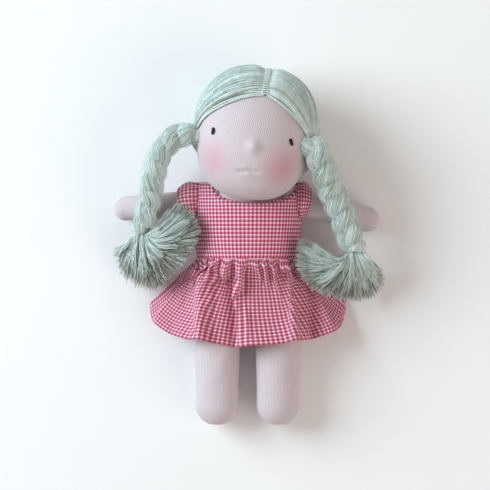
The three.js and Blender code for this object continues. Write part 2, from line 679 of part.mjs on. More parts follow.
// Closing of the dress: a facing strip behind the back opening, with two sewn snaps in front of it
const backMiddle = (waistLine + shoulderLine - NECKLINE_DEPTH) / 2;
const facingEnd = SNAP_SPACING / 2 + 2 * SNAP_RADIUS;
const strip = new THREE.BoxGeometry(FACING_WIDTH, 2 * facingEnd, FACING);
piece(doll, 'back_facing', closedBody(strip), GINGHAM, 0.9).position.set(0, backMiddle, facingZ + FACING / 2);
for (const [name, side] of Object.entries({ upper_snap: 1, lower_snap: -1 })) {
  const disc = new THREE.CylinderGeometry(SNAP_RADIUS, SNAP_RADIUS, SNAP_HEIGHT, 16).rotateX(PI / 2);
  const snapZ = COTTON + AIR + SNAP_HEIGHT / 2;
  const snapY = backMiddle + side * SNAP_SPACING / 2;
  piece(doll, name, closedBody(disc), STEEL, 0.4).position.set(0, snapY, snapZ);
}

export default doll;
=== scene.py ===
"""Looks of a soft doll lying on its back: knitted skin, yarn plaits and a gathered gingham dress."""
from __future__ import annotations

import json
import logging
import math
import random
from dataclasses import dataclass, field
from enum import Enum
from typing import Callable, Sequence

import bmesh
import bpy
from mathutils import Matrix, Vector, noise

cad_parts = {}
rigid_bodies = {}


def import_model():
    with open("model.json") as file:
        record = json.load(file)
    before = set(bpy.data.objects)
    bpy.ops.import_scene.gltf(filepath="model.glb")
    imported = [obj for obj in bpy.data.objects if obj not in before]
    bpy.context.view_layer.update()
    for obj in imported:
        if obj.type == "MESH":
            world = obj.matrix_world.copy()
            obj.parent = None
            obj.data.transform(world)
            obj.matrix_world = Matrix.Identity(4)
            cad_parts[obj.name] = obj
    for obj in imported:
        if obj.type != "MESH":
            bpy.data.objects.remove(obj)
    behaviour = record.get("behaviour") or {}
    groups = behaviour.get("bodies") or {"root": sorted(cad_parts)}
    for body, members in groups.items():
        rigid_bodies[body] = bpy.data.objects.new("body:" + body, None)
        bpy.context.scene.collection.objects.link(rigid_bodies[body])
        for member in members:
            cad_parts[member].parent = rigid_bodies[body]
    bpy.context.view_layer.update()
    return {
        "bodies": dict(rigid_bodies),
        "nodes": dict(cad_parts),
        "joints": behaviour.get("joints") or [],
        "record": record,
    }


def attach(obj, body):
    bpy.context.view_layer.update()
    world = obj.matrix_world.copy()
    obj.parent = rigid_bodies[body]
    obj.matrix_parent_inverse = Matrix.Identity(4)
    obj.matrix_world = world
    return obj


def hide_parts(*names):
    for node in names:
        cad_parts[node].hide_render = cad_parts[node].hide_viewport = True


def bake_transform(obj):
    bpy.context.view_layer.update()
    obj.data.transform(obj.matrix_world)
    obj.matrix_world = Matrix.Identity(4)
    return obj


LOG = logging.getLogger("doll")
MM = 0.001
FULL_TURN = 2 * math.pi
HIP_ASIDE = 24.4
HIP_LINE = -48.8
HIP_HEIGHT = 21.2
DRESS_TOP = 54.5
DRESS_REACH = 120.0
DRESS_FALL = (1.03, 1.01, 0.97, 0.86, 0.72, 0.48, 0.2, 0.04, 0.02)
Place = Callable[[float, float], Vector]


class Side(Enum):
    """The doll's own sides, as the sign of X."""

    LEFT = 1
    RIGHT = -1

    @property
    def word(self) -> str:
        """The side's name as it starts a node's name."""
        return self.name.lower()


class Tint(Enum):
    """The shades that one dye lot of yarn shows, and the darker cut ends, whose colour also holds painted
    shade.
    """

    PALE = 0
    MIDDLE = 1
    DEEP = 2
    # The cut ends: darker than the yarn, and darker still with painted shade inside the tassel.
    CUT = 3


DYED = (Tint.PALE, Tint.MIDDLE, Tint.DEEP)


def lerp(a: float, b: float, share: float) -> float:
    """A value between two others."""
    return a + (b - a) * share


def clamp(value: float, low: float = 0.0, high: float = 1.0) -> float:
    """A value held between two limits."""
    return max(low, min(high, value))


def ease(value: float, low: float, high: float) -> float:
    """A smooth step from 0 at one value to 1 at another."""
    share = clamp((value - low) / (high - low))
    return share * share * (3 - 2 * share)


def bell(distance: float, width: float) -> float:
    """A smooth bump of height 1 that fades over a width."""
    return math.exp(-((distance / width) ** 2))


def between(values: Sequence[float], share: float) -> float:
    """A value read from evenly spaced ones.

    Args:
        values: The values in order.
        share: The share of the way from the first to the last.

    Returns:
        The value between the two nearest.
    """
    at = clamp(share) * (len(values) - 1)
    low = min(int(at), len(values) - 2)
    return lerp(values[low], values[low + 1], at - low)


def srgb(red: int, green: int, blue: int) -> tuple[float, float, float, float]:
    """A screen colour in the linear values that shaders use."""
    linear = [((c / 255 + 0.055) / 1.055) ** 2.4 if c > 10 else c / 255 / 12.92 for c in (red, green, blue)]
    return (linear[0], linear[1], linear[2], 1.0)


class Socket:
    """An output of a shader node, with arithmetic that adds Math nodes."""

    def __init__(self, shader: "Shader", output: bpy.types.NodeSocket | None) -> None:
        """Wraps a node's output.

        Args:
            shader: The shader that the node belongs to.
            output: The output itself, or None where a node has none.
        """
        self.shader = shader
        self.output = output

    def _math(self, operation: str, *values: object) -> "Socket":
        """Adds a Math node on the values given."""
        inputs = dict(enumerate(values))
        return self.shader.node("ShaderNodeMath", {"operation": operation}, inputs)

    def __add__(self, other: object) -> "Socket":
        """Sum."""
        return self._math("ADD", self, other)

    __radd__ = __add__

    def __sub__(self, other: object) -> "Socket":
        """Difference."""
        return self._math("SUBTRACT", self, other)

    def __rsub__(self, other: object) -> "Socket":
        """Difference the other way round."""
        return self._math("SUBTRACT", other, self)

    def __mul__(self, other: object) -> "Socket":
        """Product."""
        return self._math("MULTIPLY", self, other)

    __rmul__ = __mul__

    def sine(self) -> "Socket":
        """Sine of an angle in radians."""
        return self._math("SINE", self)

    def held(self) -> "Socket":
        """The value held between 0 and 1."""
        return self.shader.node("ShaderNodeClamp", {}, {0: self})

    def band(self, low: float, high: float) -> "Socket":
        """A smooth step from 0 at one value to 1 at another.

        Args:
            low: The value that gives 0.
            high: The value that gives 1.

        Returns:
            The stepped value.
        """
        settings = {"interpolation_type": "SMOOTHSTEP"}
        return self.shader.node("ShaderNodeMapRange", settings, {0: self, 1: low, 2: high, 3: 0.0, 4: 1.0})


class Shader:
    """A material and the one method that adds its nodes."""

    def __init__(self, name: str) -> None:
        """Starts an empty material.

        Args:
            name: The material's name.
        """
        self.material = bpy.data.materials.new(name)
        self.material.use_nodes = True
        self.tree = self.material.node_tree
        self.tree.nodes.clear()

    def node(
        self, kind: str, settings: dict[str, object], inputs: dict[object, object], output: object = 0,
    ) -> Socket:
        """Adds a node, sets it up and links it.

        Args:
            kind: The node's type.
            settings: The node's own settings.
            inputs: Values or sockets by input name or number.
            output: The output wanted, by name or number.

        Returns:
            The output as a socket.
        """
        made = self.tree.nodes.new(kind)
        for key, value in settings.items():
            setattr(made, key, value)
        for key, value in inputs.items():
            if isinstance(value, Socket):
                self.tree.links.new(value.output, made.inputs[key])
            else:
                made.inputs[key].default_value = value
        return Socket(self, made.outputs[output] if len(made.outputs) else None)

    def place(self) -> Socket:
        """The point in the object's own space."""
        return self.node("ShaderNodeTexCoord", {}, {}, "Object")

    def cloth(self) -> Socket:
        """The point on the flat cloth, in metres."""
        return self.node("ShaderNodeUVMap", {"uv_map": "cloth"}, {}, "UV")

    def parts(self, vector: Socket) -> tuple[Socket, Socket, Socket]:
        """The three values of a vector.

        Args:
            vector: The vector.

        Returns:
            Its x, y and z.
        """
        split = self.node("ShaderNodeSeparateXYZ", {}, {0: vector})
        outputs = split.output.node.outputs
        return Socket(self, outputs[0]), Socket(self, outputs[1]), Socket(self, outputs[2])

    def noise(self, vector: Socket, scale: float, detail: float = 2.0, rough: float = 0.5) -> Socket:
        """Soft noise from 0 to 1 over a space.

        Args:
            vector: The space.
            scale: How many lumps to a metre.
            detail: How many finer layers.
            rough: How strong the finer layers are.

        Returns:
            The noise value.
        """
        inputs = {"Vector": vector, "Scale": scale, "Detail": detail, "Roughness": rough}
        return self.node("ShaderNodeTexNoise", {}, inputs, 0)

    def mix(self, share: object, first: object, second: object) -> Socket:
        """A colour between two others."""
        return self.node("ShaderNodeMix", {"data_type": "RGBA"}, {0: share, 6: first, 7: second}, 2)

    def near(self, point: Vector, reach: float) -> Socket:
        """A soft spot round a point of the object.

        Args:
            point: The middle of the spot, in metres.
            reach: The distance at which it has faded.

        Returns:
            1 at the point, falling to 0 at the reach.
        """
        apart = self.node("ShaderNodeVectorMath", {"operation": "DISTANCE"}, {0: self.place(), 1: point}, 1)
        return 1 - apart.band(0.0, reach)

    def bump(self, height: Socket, strength: float, distance: float) -> Socket:
        """A normal raised by a height."""
        return self.node("ShaderNodeBump", {}, {"Height": height, "Strength": strength, "Distance": distance})

    def finish(self, inputs: dict[str, object]) -> bpy.types.Material:
        """Ends the material in one shader.

        Args:
            inputs: The shader's inputs by name.

        Returns:
            The material.
        """
        shader = self.node("ShaderNodeBsdfPrincipled", {}, inputs)
        self.node("ShaderNodeOutputMaterial", {}, {"Surface": shader})
        return self.material


@dataclass(frozen=True)
class JerseySkin:
    """Fine cotton knit in a pale skin tone, with blushed cheeks where it is a face."""

    name: str
    wale: float = 1.6
    tone: tuple = srgb(223, 211, 215)
    # The knit's darker colour: painted shade in the grooves, mixed with the random mottle.
    shade: tuple = srgb(204, 189, 193)
    blush: tuple = srgb(212, 116, 140)
    cheeks: tuple[tuple[Vector, float], ...] = ()
    cheek_reach: float = 24.0

    def build(self) -> bpy.types.Material:
        """Builds the finish.

        Returns:
            The material.
        """
        shader = Shader(self.name)
        across, along, _ = shader.parts(shader.cloth())
        rib = (across * (FULL_TURN / (self.wale * MM))).sine()
        course = (along * (FULL_TURN / (0.8 * self.wale * MM)) + rib * 1.2).sine()
        mottle = shader.noise(shader.place(), 160.0, 4.0)
        knit = rib * 0.5 + course * 0.22 + mottle * 0.6
        # Darker where the knit's bump is low, between wales and courses: painted shade in the grooves; the
        # mottle is random tone.
        colour = shader.mix(knit.band(-0.55, 1.0), self.shade, self.tone)
        for cheek, strength in self.cheeks:
            soft = shader.near(cheek * MM, self.cheek_reach * MM) * (0.6 + mottle * 0.4 + rib * 0.12)
            colour = shader.mix(soft.held() * strength, colour, self.blush)
        normal = shader.bump(knit, 0.5, 0.0004)
        return shader.finish({
            "Base Color": colour, "Roughness": 0.9 - mottle * 0.08, "Normal": normal,
            "Sheen Weight": 0.25, "Sheen Roughness": 0.5, "Specular IOR Level": 0.25,
        })


@dataclass(frozen=True)
class WoolYarn:
    """Soft fuzzy wool yarn in one of its shades."""

    name: str
    pale: tuple
    deep: tuple

    def build(self) -> bpy.types.Material:
        """Builds the finish.

        Returns:
            The material.
        """
        shader = Shader(self.name)
        place = shader.place()
        fuzz = shader.noise(place, 1500.0, 3.0, 0.65)
        slub = shader.noise(place, 210.0, 2.0)
        tone = fuzz * 0.55 + slub * 0.45
        colour = shader.mix(tone.band(0.32, 0.68), self.deep, self.pale)
        normal = shader.bump(fuzz + slub * 0.3, 0.6, 0.0006)
        return shader.finish({
            "Base Color": colour, "Roughness": 0.95 - slub * 0.1, "Normal": normal,
            "Sheen Weight": 0.5, "Sheen Roughness": 0.45, "Specular IOR Level": 0.15,
        })


@dataclass(frozen=True)
class Gingham:
    """Plain-woven cotton with even red and white checks."""

    name: str
    check: float = 3.175
    threads: int = 12
    white: tuple = srgb(250, 238, 250)
    red: tuple = srgb(190, 28, 84)
    flat: bool = False

    def build(self) -> bpy.types.Material:
        """Builds the finish.

        Returns:
            The material.
        """
        shader = Shader(self.name)
        space = shader.place() if self.flat else shader.cloth()
        across, along, _ = shader.parts(space)
        turn = FULL_TURN / (self.check * MM)
        warp = ((across * turn).sine() * 2.4 + 1.1).held()
        weft = ((along * turn).sine() * 2.4 + 1.1).held()
        over = (across * (turn * self.threads)).sine()
        under = (along * (turn * self.threads)).sine()
        weave = over * under
        fade = shader.noise(space, 420.0, 3.0)
        amount = (warp + weft) * 0.5 + (warp - weft) * weave * 0.12
        depth = amount * (1.9 - amount * 0.9)
        colour = shader.mix((depth * 0.94 + fade * 0.06).held(), self.white, self.red)
        normal = shader.bump(weave * 0.5 + over * 0.25 + under * 0.25 + fade * 0.8, 0.35, 0.0003)
        return shader.finish({
            "Base Color": colour, "Roughness": 0.86 - fade * 0.1, "Normal": normal,
            "Sheen Weight": 0.15, "Sheen Roughness": 0.5, "Specular IOR Level": 0.25,
        })


@dataclass(frozen=True)
class Thread:
    """Twisted sewing or embroidery thread."""

    name: str
    tone: tuple
    shade: tuple
    gloss: float = 0.55

    def build(self) -> bpy.types.Material:
        """Builds the finish.

        Returns:
            The material.
        """
        shader = Shader(self.name)
        x, y, z = shader.parts(shader.place())
        twist = ((x + y + z) * (FULL_TURN / (0.7 * MM))).sine()
        fibre = shader.noise(shader.place(), 2600.0, 2.0)
        # Darker along the twist's grooves, where the bump is low: painted shade; the fibre noise is random
        # tone.
        colour = shader.mix((twist * 0.3 + fibre).band(0.1, 0.9), self.shade, self.tone)
        return shader.finish({
            "Base Color": colour, "Roughness": self.gloss + fibre * 0.15,
            "Normal": shader.bump(twist + fibre, 0.4, 0.0002),
        })


@dataclass(frozen=True)
class CardedWool:
    """Cream carded wool as it lies inside the skin."""

    name: str

    def build(self) -> bpy.types.Material:
        """Builds the finish.

        Returns:
            The material.
        """
        shader = Shader(self.name)
        curl = shader.noise(shader.place(), 520.0, 6.0, 0.7)
        colour = shader.mix(curl.band(0.3, 0.7), srgb(214, 203, 182), srgb(244, 238, 224))
        return shader.finish({
            "Base Color": colour, "Roughness": 1 - curl * 0.1, "Normal": shader.bump(curl, 0.7, 0.001),
        })


@dataclass(frozen=True)
class SnapMetal:
    """Nickel-plated sewing snap with turned rings."""

    name: str

    def build(self) -> bpy.types.Material:
        """Builds the finish.

        Returns:
            The material.
        """
        shader = Shader(self.name)
        scuff = shader.noise(shader.place(), 900.0, 4.0)
        colour = shader.mix(scuff, srgb(150, 152, 156), srgb(206, 208, 210))
        return shader.finish({"Base Color": colour, "Metallic": 1.0, "Roughness": 0.25 + scuff * 0.25})


@dataclass(frozen=True)
class PaleFloor:
    """The plain ground that the doll lies on."""

    name: str

    def build(self) -> bpy.types.Material:
        """Builds the finish.

        Returns:
            The material.
        """
        shader = Shader(self.name)
        grain = shader.noise(shader.place(), 30.0, 2.0)
        colour = shader.mix(grain, srgb(250, 250, 250), srgb(253, 253, 253))
        return shader.finish({"Base Color": colour, "Roughness": 0.9, "Specular IOR Level": 0.1})


@dataclass
class Wardrobe:
    """Every finish that the pieces share, built once."""

    skin: bpy.types.Material
    face: bpy.types.Material
    yarn: list[bpy.types.Material]
    gingham: bpy.types.Material
    facing: bpy.types.Material
    eye: bpy.types.Material
    lip: bpy.types.Material
    linen: bpy.types.Material
    wool: bpy.types.Material
    snap: bpy.types.Material
    floor: bpy.types.Material

    @classmethod
    def stock(cls, head: "HeadShape") -> "Wardrobe":
        """Builds the finishes.

        Args:
            head: The head, which places the blush.

        Returns:
            The filled wardrobe.
        """
        spots = ((-30.0, -28.0, 0.48), (25.0, -26.0, 0.64))
        cheeks = tuple((head.world(head.face(x, y, 0.0)), strength) for x, y, strength in spots)
        return cls(
            skin=JerseySkin("jersey_skin").build(),
            face=JerseySkin("jersey_face", cheeks=cheeks).build(),
            yarn=[
                WoolYarn("yarn_pale", srgb(230, 244, 243), srgb(198, 215, 208)).build(),
                WoolYarn("yarn_middle", srgb(212, 227, 222), srgb(176, 191, 180)).build(),
                WoolYarn("yarn_deep", srgb(188, 195, 180), srgb(144, 148, 132)).build(),
                # The cut ends' colour, darkened with painted shade.
                WoolYarn("yarn_cut", srgb(158, 155, 138), srgb(108, 104, 90)).build(),
            ],
            gingham=Gingham("gingham_cotton").build(),
            facing=Gingham("gingham_facing", flat=True).build(),
            eye=Thread("eye_thread", srgb(22, 19, 21), srgb(8, 7, 8)).build(),
            # The mouth's thread, darker than the skin: painted shade of its crease.
            lip=Thread("mouth_thread", srgb(178, 132, 138), srgb(140, 98, 106), 0.8).build(),
            linen=Thread("linen_thread", srgb(236, 226, 206), srgb(206, 192, 166), 0.75).build(),
            wool=CardedWool("carded_wool").build(),
            snap=SnapMetal("snap_metal").build(),
            floor=PaleFloor("pale_floor").build(),
        )


class Workshop:
    """Makes objects in metres from bmesh forms in millimetres."""

    @staticmethod
    def ball(around: int, along: int, place: Place, cloth: Place) -> bmesh.types.BMesh:
        """A closed form, shaped from a ball.

        Args:
            around: Segments round the axis.
            along: Rows from pole to pole.
            place: The point for a turn in radians and a share of the way from pole to pole.
            cloth: The point on the flat cloth for shares round and along.

        Returns:
            The form.
        """
        form = bmesh.new()
        flat = form.loops.layers.uv.new("cloth")
        bmesh.ops.create_uvsphere(form, u_segments=around, v_segments=along, radius=1.0, calc_uvs=True)
        for corner in (loop for face in form.faces for loop in face.loops):
            corner[flat].uv = cloth(*corner[flat].uv).to_2d()
        for vert in form.verts:
            share = math.acos(clamp(-vert.co.z, -1.0, 1.0)) / math.pi
            vert.co = place(math.atan2(vert.co.x, vert.co.y), share)
        bmesh.ops.recalc_face_normals(form, faces=form.faces)
        return form

    @staticmethod
    def sheet(columns: int, rows: int, place: Place, cloth: Place, outward: Vector) -> bmesh.types.BMesh:
        """A sheet, shaped from a grid.

        Args:
            columns: Cells across.
            rows: Cells along.
            place: The point for shares across and along.
            cloth: The point on the flat cloth for the same shares.
            outward: A direction that the sheet's middle faces.

        Returns:
            The form.
        """
        form = bmesh.new()
        flat = form.loops.layers.uv.new("cloth")
        bmesh.ops.create_grid(form, x_segments=columns, y_segments=rows, size=0.5, calc_uvs=True)
        for corner in (loop for face in form.faces for loop in face.loops):
            corner[flat].uv = cloth(*corner[flat].uv).to_2d()
        for vert in form.verts:
            vert.co = place(vert.co.x + 0.5, vert.co.y + 0.5)
        bmesh.ops.remove_doubles(form, verts=form.verts, dist=1e-4)
        form.normal_update()
        if sum((face.normal * face.calc_area() for face in form.faces), Vector()).dot(outward) < 0:
            bmesh.ops.reverse_faces(form, faces=form.faces)
        return form

    @staticmethod
    def piece(name: str, form: bmesh.types.BMesh, *finishes: bpy.types.Material) -> bpy.types.Object:
        """Turns a form into an object.

        Args:
            name: The object's name.
            form: The form in millimetres, which is used up.
            finishes: Its materials.

        Returns:
            The object.
        """
        bmesh.ops.scale(form, vec=Vector((MM, MM, MM)), verts=form.verts)
        for face in form.faces:
            face.smooth = True
        for edge in form.edges:
            edge.smooth = not edge.is_boundary
        mesh = bpy.data.meshes.new(name)
        form.to_mesh(mesh)
        form.free()
        for finish in finishes:
            mesh.materials.append(finish)
        made = bpy.data.objects.new(name, mesh)
        bpy.context.scene.collection.objects.link(made)
        LOG.info("%s: %d faces", name, len(mesh.polygons))
        return made

    @staticmethod
    def thicken(made: bpy.types.Object, thickness: float) -> None:
        """Gives a sheet its thickness, inwards.

        Args:
            made: The sheet.
            thickness: Its thickness in millimetres.
        """
        solid = made.modifiers.new("cloth", "SOLIDIFY")
        solid.thickness = thickness * MM
        solid.offset = -1.0


@dataclass
class Skein:
    """Lengths of yarn or thread that make one piece."""

    name: str
    sides: int = 6
    lengths: list[tuple[list[Vector], list[float], Tint]] = field(default_factory=list)

    def lay(self, points: list[Vector], radii: list[float], tint: Tint = Tint.PALE) -> None:
        """Lays one length along points, with a radius at each."""
        self.lengths.append((points, radii, tint))

    def build(
        self, *finishes: bpy.types.Material, backing: bmesh.types.BMesh | None = None,
    ) -> bpy.types.Object:
        """Winds the lengths into one mesh.

        Args:
            finishes: The finishes that the tints choose from.
            backing: A form in millimetres to join in, which is used up.

        Returns:
            The object.
        """
        line = bpy.data.curves.new(self.name, "CURVE")
        line.dimensions = "3D"
        line.bevel_depth = MM
        line.bevel_resolution = (self.sides - 4) // 2
        line.use_fill_caps = True
        for finish in finishes:
            line.materials.append(finish)
        for points, radii, tint in self.lengths:
            spline = line.splines.new("POLY")
            spline.points.add(len(points) - 1)
            for knot, point, radius in zip(spline.points, points, radii):
                knot.co = (*(point * MM), 1.0)
                knot.radius = radius
            spline.material_index = tint.value
        wound = bpy.data.objects.new(self.name, line)
        bpy.context.scene.collection.objects.link(wound)
        shown = wound.evaluated_get(bpy.context.evaluated_depsgraph_get())
        mesh = bpy.data.meshes.new_from_object(shown)
        bpy.data.objects.remove(wound)
        form = backing or bmesh.new()
        bmesh.ops.scale(form, vec=Vector((MM, MM, MM)), verts=form.verts)
        form.from_mesh(mesh)
        bmesh.ops.scale(form, vec=Vector((1 / MM, 1 / MM, 1 / MM)), verts=form.verts)
        return Workshop.piece(self.name, form, *finishes)


@dataclass(frozen=True)
class HeadShape:
    """The head's ball about its own tilted axis, in millimetres."""

    centre: Vector = field(default_factory=lambda: Vector((6.4, 78.06, 47.4)))
    tilt: float = math.radians(8.5)
    half: Vector = field(default_factory=lambda: Vector((46.0, 49.0, 43.0)))
    crown: float = 2.2
    chin: float = 2.6

    def out(self, direction: Vector, offset: float) -> Vector:
        """The point on the ball in a direction from its middle.

        Args:
            direction: The direction in the head's own space.
            offset: How far off the skin.

        Returns:
            The point in the head's own space.
        """
        d = direction.normalized()
        full = self.chin if d.y < 0 else self.crown
        swell = (abs(d.y) ** full + math.hypot(d.x, d.z) ** full) ** (-1 / full)
        half = self.half + Vector((offset, offset, offset))
        return Vector((d.x * half.x, d.y * half.y, d.z * half.z)) * swell

    def face(self, across: float, up: float, offset: float) -> Vector:
        """The point on the front of the ball above a place in the face.

        Args:
            across: Distance to the doll's left of the middle.
            up: Distance above the middle.
            offset: How far off the skin.

        Returns:
            The point in the head's own space.
        """
        half = self.half + Vector((offset, offset, offset))
        full = self.chin if up < 0 else self.crown
        rest = (1 - abs(up / half.y) ** full) ** (2 / full) - (across / half.x) ** 2
        return Vector((across, up, half.z * math.sqrt(max(rest, 0.0))))

    def world(self, local: Vector) -> Vector:
        """A point of the head's own space, in the doll's."""
        return Matrix.Rotation(-self.tilt, 3, "Z") @ local + self.centre


@dataclass
class Head:
    """The stuffed head with its small nose, drawn-in mouth and stitched eyes."""

    shape: HeadShape
    neck_radius: float = 13.0
    neck_setback: float = 10.0
    neck_length: float = 14.0
    chin_drop: float = 5.6
    nose_height: float = -12.6
    nose_rise: float = 3.6
    nose_width: float = 5.0
    mouth: tuple[Vector, Vector] = (Vector((-9.8, -33.2, 0)), Vector((6.8, -31.8, 0)))
    mouth_depth: float = 1.9
    eyes: tuple[tuple[Side, float, float, float], ...] = (
        (Side.RIGHT, -33.3, -5.0, 0.0), (Side.LEFT, 29.2, -4.6, -0.42),
    )
    eye_length: float = 5.4
    eye_width: float = 2.3
    eye_rows: int = 4
    eye_steps: int = 8
    eye_thread: float = 0.52
    mouth_steps: int = 14
    mouth_thread: float = 0.36
    around: int = 220
    along: int = 150

    def skin_point(self, direction: Vector) -> Vector:
        """The skin in a direction, with the nose, the lips and the low chin.

        Args:
            direction: The direction in the head's own space.

        Returns:
            The point in the head's own space.
        """
        p = self.shape.out(direction, 0.0)
        p.y -= self.chin_drop * ease(p.z, -12.0, 12.0) * ease(-p.y, 8.0, 40.0)
        p.x *= 1 - 0.05 * ease(-p.y, 20.0, 50.0) * ease(p.x, 0.0, 20.0)
        if p.z > 0:
            p.z += self.nose_rise * bell(math.hypot(p.x, p.y - self.nose_height), self.nose_width)
            first, last = self.mouth
            share = (p.x - first.x) / (last.x - first.x)
            bow = 0.4 * math.sin(3 * math.pi * clamp(share))
            above = p.y + bow - lerp(first.y, last.y, share)
            ends = ease(share, -0.22, 0.2) * ease(1 - share, -0.22, 0.2)
            lips = 0.5 * bell(above - 3.0, 2.2) + 1.1 * bell(above + 3.0, 2.2) * bell(share - 0.56, 0.36)
            p.z += ends * (lips - self.mouth_depth * bell(above, 1.5))
        return p

    def skin_spot(self, across: float, up: float) -> Vector:
        """The skin's point at a place in the face as it shows from the front.

        Args:
            across: Distance to the doll's left of the middle.
            up: Distance above the middle.

        Returns:
            The point in the head's own space.
        """
        aim = up
        for _ in range(5):
            spot = self.skin_point(self.shape.face(across, aim, 0.0))
            aim += up - spot.y
        return spot

    def build(self, stock: Wardrobe) -> None:
        """Builds and dresses the head.

        Args:
            stock: The finishes.
        """
        def place(turn: float, share: float) -> Vector:
            """The skin's point.

            Args:
                turn: The turn round the head's axis.
                share: The share of the way from chin to crown.

            Returns:
                The point in the doll's space.
            """
            level = lerp(-math.pi / 2, math.pi / 2, share)
            flat = math.cos(level)
            d = Vector((flat * math.sin(turn), math.sin(level), -flat * math.cos(turn)))
            return self.shape.world(self.skin_point(d))

        width = FULL_TURN * self.shape.half.x * MM
        height = math.pi * self.shape.half.y * MM
        form = Workshop.ball(self.around, self.along, place, lambda u, v: Vector((u * width, v * height, 0)))
        self._neck(form)
        skin = Workshop.piece("head_jersey", form, stock.face)
        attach(skin, "head")
        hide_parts("head_skin", "nose_ball")
        for side, across, up, lean in self.eyes:
            self._eye(side, across, up, lean, stock)
        self._mouth(stock)

    def _neck(self, form: bmesh.types.BMesh) -> None:
        """Adds the short neck that goes down into the body.

        Args:
            form: The head's form, which it joins.
        """
        foot = self.shape.world(Vector((0, -self.shape.half.y + 1.5, -self.neck_setback)))
        lean = Matrix.Rotation(-self.shape.tilt, 4, "Z")
        lie = Matrix.Translation(foot) @ lean @ Matrix.Rotation(math.pi / 2, 4, "X")
        bmesh.ops.create_cone(
            form, cap_ends=True, segments=48, radius1=self.neck_radius, radius2=self.neck_radius,
            depth=self.neck_length, matrix=lie,
        )

    def _eye(self, side: Side, across: float, up: float, lean: float, stock: Wardrobe) -> None:
        """Stitches one eye from a few turns of thread side by side.

        Args:
            side: The side of the doll.
            across: The eye's distance to the doll's left.
            up: Its height above the middle.
            lean: How far it leans, in radians.
            stock: The finishes.
        """
        skein = Skein(f"{side.word}_eye_stitch", sides=8)
        for row in range(self.eye_rows):
            aside = (row - (self.eye_rows - 1) / 2) * self.eye_width / 4.4
            points = []
            for step in range(self.eye_steps + 1):
                share = step / self.eye_steps
                rise = (share - 0.5) * (self.eye_length - 1.2 * abs(aside))
                x = across + aside * math.cos(lean) + rise * math.sin(lean)
                y = up + rise * math.cos(lean) - aside * math.sin(lean)
                proud = 0.9 * math.sin(math.pi * share) ** 0.4
                points.append(self.shape.world(self.shape.face(x, y, proud)))
            skein.lay(points, [self.eye_thread] * len(points))
        eye = skein.build(stock.eye)
        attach(eye, "head")
        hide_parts(f"{side.word}_eye")

    def _mouth(self, stock: Wardrobe) -> None:
        """Lays the stitch that draws the mouth in, a real thread tinted darker than the skin as painted shade
        of the mouth's crease.

        Args:
            stock: The finishes.
        """
        skein = Skein("mouth_thread", sides=6)
        first, last = self.mouth
        points = []
        for step in range(self.mouth_steps + 1):
            share = lerp(0.06, 0.94, step / self.mouth_steps)
            bow = 0.4 * math.sin(3 * math.pi * share)
            spot = self.skin_spot(lerp(first.x, last.x, share), lerp(first.y, last.y, share) - bow)
            points.append(self.shape.world(spot - Vector((0, 0, 0.12))))
        skein.lay(points, [self.mouth_thread] * len(points))
        stitch = skein.build(stock.lip)
        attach(stitch, "head")
        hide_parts("mouth_stitch")


